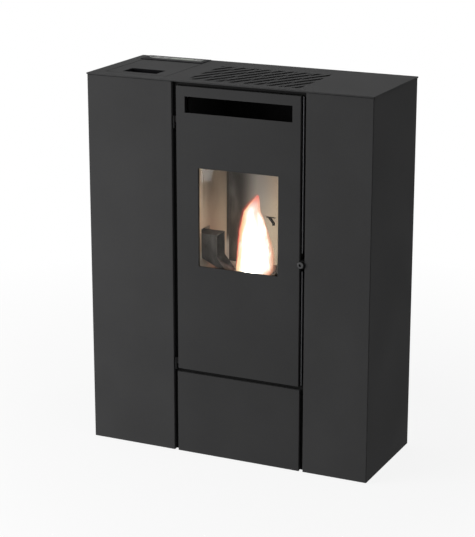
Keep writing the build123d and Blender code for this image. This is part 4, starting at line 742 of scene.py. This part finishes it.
def bar_part(start, end, width, low_z, high_z):
    """A thin bar with pointed ends between two (x, y) points."""
    a, b = Vector(start), Vector(end)
    along = (b - a).normalized()
    side = Vector((-along.y, along.x)) * width / 2
    tip = along * width / 2
    outline = (a - tip, a - side, b - side, b + tip, b + side, a + side)
    return plate_part([(p.x, p.y) for p in outline], low_z, high_z)


# ---- operators ----

class STOVE_OT_finishes(bpy.types.Operator):
    """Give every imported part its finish"""

    bl_idname = "stove.finishes"
    bl_label = "Finishes"

    def execute(self, context):
        finishes = make_finishes(context.scene.stove_coats)
        for entry in frame["record"]["subparts"]:
            part = frame["nodes"][entry["node"]]
            part.data.materials.clear()
            finish = OWN_FINISH.get(entry["node"], entry["material_slot"])
            part.data.materials.append(finishes[finish])
        return {"FINISHED"}


class STOVE_OT_flame(bpy.types.Operator):
    """Build the flame over the burn pot"""

    bl_idname = "stove.flame"
    bl_label = "Flame"

    def execute(self, context):
        fire = context.scene.stove_fire
        low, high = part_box("burn_pot")
        sink, shift = 0.004, 0.004      # the flame starts inside the pot, a little left
        foot = Vector(((low.x + high.x) / 2 - shift, (low.y + high.y) / 2, high.z - sink))
        # place across the flame, colour there, density there
        whole = ((0.0, fire.fringe, 0.0), (0.045, fire.fringe, 0.75), (0.085, fire.flank, 1.0),
                 (0.16, fire.body, 1.0), (0.33, fire.core, 1.0), (0.70, fire.core, 1.0),
                 (0.84, fire.veil, 0.95), (0.93, fire.flank, 0.60), (1.0, fire.flank, 0.0))
        gas = ((0.0, fire.fringe, 0.0), (0.10, fire.fringe, 0.8), (0.30, fire.flank, 0.5),
               (0.70, fire.flank, 0.5), (0.90, fire.flank, 0.7), (1.0, fire.flank, 0.0))
        # name, move from the foot, share of the height and width, tones, density, middle's light
        tongues = (
            ("flame_core", (0.0, 0.0, 0.0), 1.0, 1.0, whole, 1.0, fire.strength),
            ("flame_veil", (0.0, 0.002, 0.002), 1.02, 1.05, gas, 0.30, 1.0),
            ("flame_lick", (-0.028, -0.008, 0.004), 0.50, 0.42, whole, 0.45, 1.5),
        )
        for index, (name, move, tall, wide, tones, density, light) in enumerate(tongues):
            start = foot + Vector(move)
            height, width = fire.height * tall, fire.width * wide
            finish = fire_finish(name, start, height, width, tones, fire.tip, density, light)
            lobes, seed = 0.03 + 0.01 * index, index * 0.9
            shape = flame_sheet(start, height, width, fire.depth, lobes, seed)
            add_piece(name, shape, finish, "burn_pot")
        return {"FINISHED"}


class STOVE_OT_embers(bpy.types.Operator):
    """Fill the burn pot with glowing pellets"""

    bl_idname = "stove.embers"
    bl_label = "Embers"

    def execute(self, context):
        fire = context.scene.stove_fire
        wall, gap, floor = 0.0065, 0.006, 0.007
        below_rim, mound, mound_area, bumps = 0.026, 0.010, 0.0016, 0.002
        low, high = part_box("burn_pot")
        low = low + Vector((wall + gap, wall + gap, floor))
        high = high - Vector((wall + gap, wall + gap, 0.0))
        middle = (low + high) / 2

        def bed(x, y):
            spread = ((x - middle.x) ** 2 + (y - middle.y) ** 2) / mound_area
            return (high.z - below_rim + mound * math.exp(-spread)
                    + bumps * noise.noise(Vector((x, y, 0.0)) * 90))

        loose = scatter_pellets(fire.pot_pellets, low, high, bed, fire.pellet_radius,
                                fire.pellet_length * 0.75, random.Random(7), 0.5)
        add_piece("embers", join_parts((heap(low, high, bed, 24), loose)),
                  ember_finish("embers"), "burn_pot")
        return {"FINISHED"}


class STOVE_OT_hopper_fill(bpy.types.Operator):
    """Fill the hopper with wood pellets"""

    bl_idname = "stove.hopper_fill"
    bl_label = "Hopper fill"

    def execute(self, context):
        fire = context.scene.stove_fire
        low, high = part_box("hopper")
        wall, store_floor, below_grid = 0.0026, 0.915, 0.006
        peak, slope, bumps = 0.040, 0.020, 0.006
        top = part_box("hopper_grid")[0].z - below_grid
        low = Vector((low.x + wall, low.y + wall, store_floor))
        high = Vector((high.x - wall, high.y - wall, top))
        middle = (low + high) / 2

        def fill(x, y):
            near = math.hypot((x - middle.x) / 0.09, (y - middle.y) / 0.10)
            return (top - peak - slope * min(near, 1.4) ** 2 * 0.6
                    + bumps * noise.noise(Vector((x, y, 1.0)) * 30))

        loose = scatter_pellets(fire.hopper_pellets, low, high, fill, fire.pellet_radius,
                                fire.pellet_length, random.Random(21))
        add_piece("hopper_pellets", join_parts((heap(low, high, fill, 40), loose)),
                  wood_finish("pellet_wood", fire.wood), "stove")
        return {"FINISHED"}


class STOVE_OT_ash(bpy.types.Operator):
    """Lay ash in the drawer and on the hearth"""

    bl_idname = "stove.ash"
    bl_label = "Ash"

    def execute(self, context):
        finish = ash_finish("wood_ash")
        low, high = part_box("ash_drawer")
        wall, sheet = 0.0020, 0.0019
        low = low + Vector((wall, wall, sheet))
        high = high - Vector((wall, wall, 0.0))
        middle = (low + high) / 2

        def drift(x, y):
            layer, mound, bumps = 0.008, 0.024, 0.003
            near = ((x - middle.x) / 0.07) ** 2 + ((y - middle.y) / 0.075) ** 2
            return (low.z + layer + mound * math.exp(-near)
                    + bumps * noise.noise(Vector((x, y, 3.0)) * 45))

        add_piece("drawer_ash", heap(low, high, drift, 60), finish, "ash_drawer")

        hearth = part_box("hearth_plate")[1].z
        side_low, side_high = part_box("liner_left")
        from_side, from_front, from_pot, from_back, deepest = 0.001, 0.022, 0.002, 0.008, 0.006
        low = Vector((side_high.x + from_side, side_low.y + from_front, hearth))
        high = Vector((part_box("burn_pot")[0].x - from_pot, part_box("fireback")[0].y - from_back,
                       hearth + deepest))

        def dusting(x, y):
            film, layer, bumps, bank_width = 0.0004, 0.0020, 0.0022, 0.010
            edge = min(x - low.x, high.x - x, y - low.y, high.y - y)
            bank = min(max(edge / bank_width, 0.0), 1.0)
            uneven = abs(noise.noise(Vector((x, y, 5.0)) * 60))
            return low.z + film + bank * (layer + bumps * uneven)

        add_piece("hearth_ash", heap(low, high, dusting, 50), finish, "stove")
        return {"FINISHED"}


class STOVE_OT_gap_lip(bpy.types.Operator):
    """Fold the frame's lip into the gap beside the door, with a break at the latch"""

    bl_idname = "stove.gap_lip"
    bl_label = "Gap lip"

    def execute(self, context):
        door_low, door_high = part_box("door_panel")
        latch_low, latch_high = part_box("latch_knob")
        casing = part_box("right_casing")[0].x
        frame_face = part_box("front_frame")[0].y
        middle = door_high.x + 0.34 * (casing - door_high.x)
        half, behind_door, corner = 0.0018, 0.0075, 0.0008
        end_gap, below_latch, above_latch = 0.002, 0.012, 0.022
        front = door_low.y + behind_door
        outline = [(middle - half, frame_face), (middle - half, front + corner),
                   (middle - half + corner * 0.3, front + corner * 0.3),
                   (middle - half + corner, front), (middle + half - corner, front),
                   (middle + half - corner * 0.3, front + corner * 0.3),
                   (middle + half, front + corner), (middle + half, frame_face)]
        parts = [plate_part(outline, low_z, high_z)
                 for low_z, high_z in ((door_low.z + end_gap, latch_low.z - below_latch),
                                       (latch_high.z + above_latch, door_high.z - end_gap))]
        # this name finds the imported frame's own plain coat, not the finish of that name
        coat = bpy.data.materials["casing_coat"]
        add_piece("gap_lip", join_parts(parts), coat, "stove", False)
        return {"FINISHED"}


class STOVE_OT_door_seal(bpy.types.Operator):
    """Braid the door's rope seal"""

    bl_idname = "stove.door_seal"
    bl_label = "Door seal"

    def execute(self, context):
        fit = context.scene.stove_fittings
        low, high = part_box("door_rope_seal")
        thick, middle_y = (high.y - low.y) / 2, (low.y + high.y) / 2
        wide, corner, step = 0.005, 0.010, 0.0022
        strands, strand_sides, core_sides, corner_steps = 8, 6, 10, 6
        strand = fit.seal_strand / 2
        left, right, bottom, top = low.x + wide, high.x - wide, low.z + wide, high.z - wide
        path = []
        turns = ((right - corner, top - corner, 0.0), (left + corner, top - corner, 0.25),
                 (left + corner, bottom + corner, 0.5), (right - corner, bottom + corner, 0.75))
        for x, z, start in turns:
            for k in range(corner_steps + 1):
                angle = math.tau * (start + 0.25 * k / corner_steps)
                at = Vector((x + corner * math.cos(angle), 0, z + corner * math.sin(angle)))
                path.append((at, angle))
        line = []
        for (a, a_angle), (b, b_angle) in zip(path, path[1:] + path[:1]):
            steps = max(1, round((b - a).length / step))
            if b_angle < a_angle - 1:
                b_angle += math.tau
            for k in range(steps):
                share = k / steps
                angle = a_angle + (b_angle - a_angle) * share
                outward = Vector((math.cos(angle), 0, math.sin(angle)))
                line.append((a + (b - a) * share, outward))
        length = sum((line[i][0] - line[i - 1][0]).length for i in range(len(line)))
        winds = round(length / fit.seal_pitch)
        parts = []
        for index in range(strands):
            hand = 1 if index % 2 else -1
            points = []
            for i, (point, outward) in enumerate(line):
                angle = hand * (math.tau * winds * i / len(line)) + math.tau * (index // 2) / 4
                weave = 0.25 * strand * math.sin(math.tau * winds * 4 * i / len(line)
                                                 + index * math.pi)
                out = (wide - strand + weave) * math.cos(angle)
                back = (thick - strand) * math.sin(angle)
                points.append(Vector((point.x, middle_y + back, point.z)) + outward * out)
            parts.append(skin(closed_tube(points, strand, strand_sides), False))
        core = []
        for point, outward in line:
            core.append([Vector((point.x, middle_y + (thick - strand) * 0.9 * math.sin(a),
                                 point.z)) + outward * ((wide - strand) * 0.9 * math.cos(a))
                         for a in angles(core_sides)])
        core.append(core[0])
        parts.append(skin(core, False))
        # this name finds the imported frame's own plain rope, not the finish of that name
        rope = bpy.data.materials["rope"]
        seal = add_piece("braided_door_seal", join_parts(parts), rope, "door")
        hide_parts("door_rope_seal")
        return {"FINISHED"}


SEGMENTS = {
    "a": ((0.12, 1.0), (0.88, 1.0)), "b": ((1.0, 0.94), (1.0, 0.56)),
    "c": ((1.0, 0.44), (1.0, 0.06)), "d": ((0.12, 0.0), (0.88, 0.0)),
    "e": ((0.0, 0.44), (0.0, 0.06)), "f": ((0.0, 0.94), (0.0, 0.56)),
    "g": ((0.12, 0.5), (0.88, 0.5)),
}
DIGITS = ("abcdef", "bc", "abdeg", "abcdg", "bcfg", "acdfg", "acdefg", "abc", "abcdefg", "abcdfg")
HALF_MARK = 0.0032
MINUS = ((-HALF_MARK, 0.0), (HALF_MARK, 0.0))
# strokes from the key's centre: a minus, a plus and an arrow
KEY_MARKS = {
    "key_left": (MINUS,),
    "key_middle": (MINUS, ((0.0, -0.0009), (0.0, -HALF_MARK)), ((0.0, 0.0009), (0.0, HALF_MARK))),
    "key_right": (((-0.0001, 0.0016), (-HALF_MARK, -0.0016)),
                  ((0.0001, 0.0016), (HALF_MARK, -0.0016))),
}


def print_levels(high):
    """Bottom and top of the ink on a surface: it dips in a little and stands a little proud."""
    return high.z - 0.00005, high.z + 0.00012


class STOVE_OT_panel_marks(bpy.types.Operator):
    """Draw the display's digits and the marks on the keys"""

    bl_idname = "stove.panel_marks"
    bl_label = "Display and key marks"

    def add_mark(self, name, parts, ink, body):
        """Add the parts of one printed mark as a piece on a body."""
        add_piece(name, join_parts(parts), ink, body, False)

    def execute(self, context):
        fit = context.scene.stove_fittings
        ink = moulded("printed_marks", fit.mark, 0.5, 0.0008)
        low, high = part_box("display_window")
        height = fit.digit_height
        wide, stroke = height * 0.5, height * 0.12
        margin, gap = 0.020, 0.005
        levels = print_levels(high)
        parts = []
        for index, digit in enumerate(f"{fit.display_value:02d}"):
            x = low.x + margin + index * (wide + gap)
            y = (low.y + high.y) / 2 - height / 2
            for name in DIGITS[int(digit)]:
                (ax, ay), (bx, by) = SEGMENTS[name]
                parts.append(bar_part((x + ax * wide, y + ay * height),
                                      (x + bx * wide, y + by * height), stroke, *levels))
        # the degree sign
        x = low.x + margin + 2 * (wide + gap) + 0.002
        y = (low.y + high.y) / 2 + height / 2 - 0.0015
        ring, inner = ([(x + r * math.cos(a), y + r * math.sin(a)) for a in angles(12)]
                       for r in (0.0018, 0.0010))
        for k in range(12):
            n = (k + 1) % 12
            parts.append(plate_part((ring[k], ring[n], inner[n], inner[k]), *levels))
        self.add_mark("display_digits", parts, ink, "stove")

        for name, strokes in KEY_MARKS.items():
            low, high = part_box(name)
            centre = (low + high) / 2
            parts = [bar_part((centre.x + ax, centre.y + ay), (centre.x + bx, centre.y + by),
                              0.0012, *print_levels(high)) for (ax, ay), (bx, by) in strokes]
            self.add_mark(name + "_mark", parts, ink, name)

        low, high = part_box("power_button")
        centre = (low + high) / 2
        levels = print_levels(high)
        steps, start, sweep = 14, math.radians(125), math.radians(290)
        parts = []
        for k in range(steps):
            a = start + sweep * k / steps
            b = start + sweep * (k + 1) / steps
            corners = ((0.0017, a), (0.0023, a), (0.0023, b), (0.0017, b))
            parts.append(plate_part([(centre.x + r * math.cos(t), centre.y + r * math.sin(t))
                                     for r, t in corners], *levels))
        parts.append(bar_part((centre.x, centre.y + 0.0005), (centre.x, centre.y + 0.0026),
                              0.0006, *levels))
        self.add_mark("power_mark", parts, ink, "power_button")
        return {"FINISHED"}


def soft_lamp(name, power, size, at, target):
    """A large square lamp that points at a target."""
    data = bpy.data.lights.new(name, "AREA")
    data.energy = power
    data.size = size
    made = bpy.data.objects.new(name, data)
    bpy.context.scene.collection.objects.link(made)
    made.location = at
    made.rotation_euler = (Vector(target) - Vector(at)).to_track_quat("-Z", "Y").to_euler()


class STOVE_OT_studio(bpy.types.Operator):
    """Set up the floor, the lamps and the camera"""

    bl_idname = "stove.studio"
    bl_label = "Studio"

    def execute(self, context):
        scene, studio = context.scene, context.scene.stove_studio
        half = studio.floor_size / 2
        mesh = bpy.data.meshes.new("floor")
        steps = 8
        row = steps + 1
        mesh.from_pydata([(-half + 2 * half * i / steps, -half + 2 * half * j / steps, 0.0)
                          for j in range(row) for i in range(row)], [],
                         [(j * row + i, j * row + i + 1, (j + 1) * row + i + 1, (j + 1) * row + i)
                          for j in range(steps) for i in range(steps)])
        floor = bpy.data.objects.new("floor", mesh)
        scene.collection.objects.link(floor)
        made = bpy.data.materials.new("studio_floor")
        made.use_nodes = True
        made.node_tree.nodes.clear()
        nodes = Nodes(made.node_tree)
        matt = nodes.add("BsdfDiffuse", {"Color": rgba(studio.floor)})
        glow = nodes.add("Emission", {"Color": WHITE, "Strength": nodes.seen_directly()})
        # near the stove the floor shows its shadow, and further off it is plain white
        place = nodes.add("TexCoord").outputs["Object"]
        away = nodes.add("VectorMath", {"Vector": place}, operation="LENGTH").outputs["Value"]
        white = nodes.spread(away, studio.near_glow, 1.0, 0.7, studio.shadow_reach)
        both = nodes.add("MixShader", {0: white, 1: matt.outputs[0], 2: glow.outputs[0]})
        nodes.add("OutputMaterial", {"Surface": both.outputs[0]})
        mesh.materials.append(made)

        world = bpy.data.worlds.new("studio_room")
        world.use_nodes = True
        nodes = Nodes(world.node_tree)
        background = world.node_tree.nodes["Background"].inputs
        background["Color"].default_value = WHITE
        level = nodes.spread(nodes.seen_directly(), studio.room_light, 1.0, 0.0, 1.0)
        nodes.tree.links.new(level, background["Strength"])
        scene.world = world

        middle = (0.0, 0.0, 0.6)
        soft_lamp("key_lamp", studio.key_power, 2.2, (-2.3, -2.5, 0.9), (0.0, 0.0, 0.1))
        soft_lamp("top_lamp", studio.top_power, 2.4, (-0.4, 0.2, 3.9), middle)
        soft_lamp("fill_lamp", studio.fill_power, 2.2, (3.2, -2.0, 1.6), middle)

        data = bpy.data.cameras.new("camera")
        data.lens = studio.focal_length
        data.clip_end = 60.0
        camera = bpy.data.objects.new("camera", data)
        scene.collection.objects.link(camera)
        camera.location = studio.camera_place
        camera.rotation_euler = (math.radians(90 - studio.camera_down), 0.0,
                                 math.radians(studio.camera_turn))
        scene.camera = camera
        scene.view_settings.view_transform = "Standard"
        return {"FINISHED"}


class STOVE_PT_panel(bpy.types.Panel):
    """Settings and pieces of the pellet stove"""

    bl_idname = "STOVE_PT_panel"
    bl_label = "Pellet stove"
    bl_space_type = "VIEW_3D"
    bl_region_type = "UI"
    bl_category = "Stove"

    def draw(self, context):
        layout = self.layout
        for title, group in (("Finishes", "stove_coats"), ("Fire", "stove_fire"),
                             ("Fittings", "stove_fittings"), ("Studio", "stove_studio")):
            settings = getattr(context.scene, group)
            box = layout.box()
            box.label(text=title)
            for name in settings.__annotations__:
                box.prop(settings, name)
        for operator in OPERATORS:
            layout.operator(operator.bl_idname)


GROUPS = {"stove_coats": CoatSettings, "stove_fire": FireSettings,
          "stove_fittings": FittingSettings, "stove_studio": StudioSettings}
OPERATORS = (STOVE_OT_finishes, STOVE_OT_flame, STOVE_OT_embers, STOVE_OT_hopper_fill,
             STOVE_OT_ash, STOVE_OT_gap_lip, STOVE_OT_door_seal, STOVE_OT_panel_marks,
             STOVE_OT_studio)


def register():
    """Add the settings, operators and panel to Blender."""
    for name, group in GROUPS.items():
        bpy.utils.register_class(group)
        setattr(bpy.types.Scene, name, PointerProperty(type=group))
    for made in (*OPERATORS, STOVE_PT_panel):
        bpy.utils.register_class(made)


def unregister():
    """Take the panel, operators and settings away again."""
    for made in (STOVE_PT_panel, *reversed(OPERATORS)):
        bpy.utils.unregister_class(made)
    for name, group in GROUPS.items():
        delattr(bpy.types.Scene, name)
        bpy.utils.unregister_class(group)


def clear_default_scene():
    """Remove the objects of a new Blender file that aren't part of the frame."""
    for name in ("Cube", "Light", "Camera"):
        if name in bpy.data.objects and "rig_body" not in bpy.data.objects[name]:
            bpy.data.objects.remove(bpy.data.objects[name])


def main():
    """Build the dressed stove around its frame."""
    register()
    clear_default_scene()
    bpy.ops.stove.finishes()
    bpy.ops.stove.flame()
    bpy.ops.stove.embers()
    bpy.ops.stove.hopper_fill()
    bpy.ops.stove.ash()
    bpy.ops.stove.gap_lip()
    bpy.ops.stove.door_seal()
    bpy.ops.stove.panel_marks()
    bpy.ops.stove.studio()


if __name__ == "__main__":
    main()
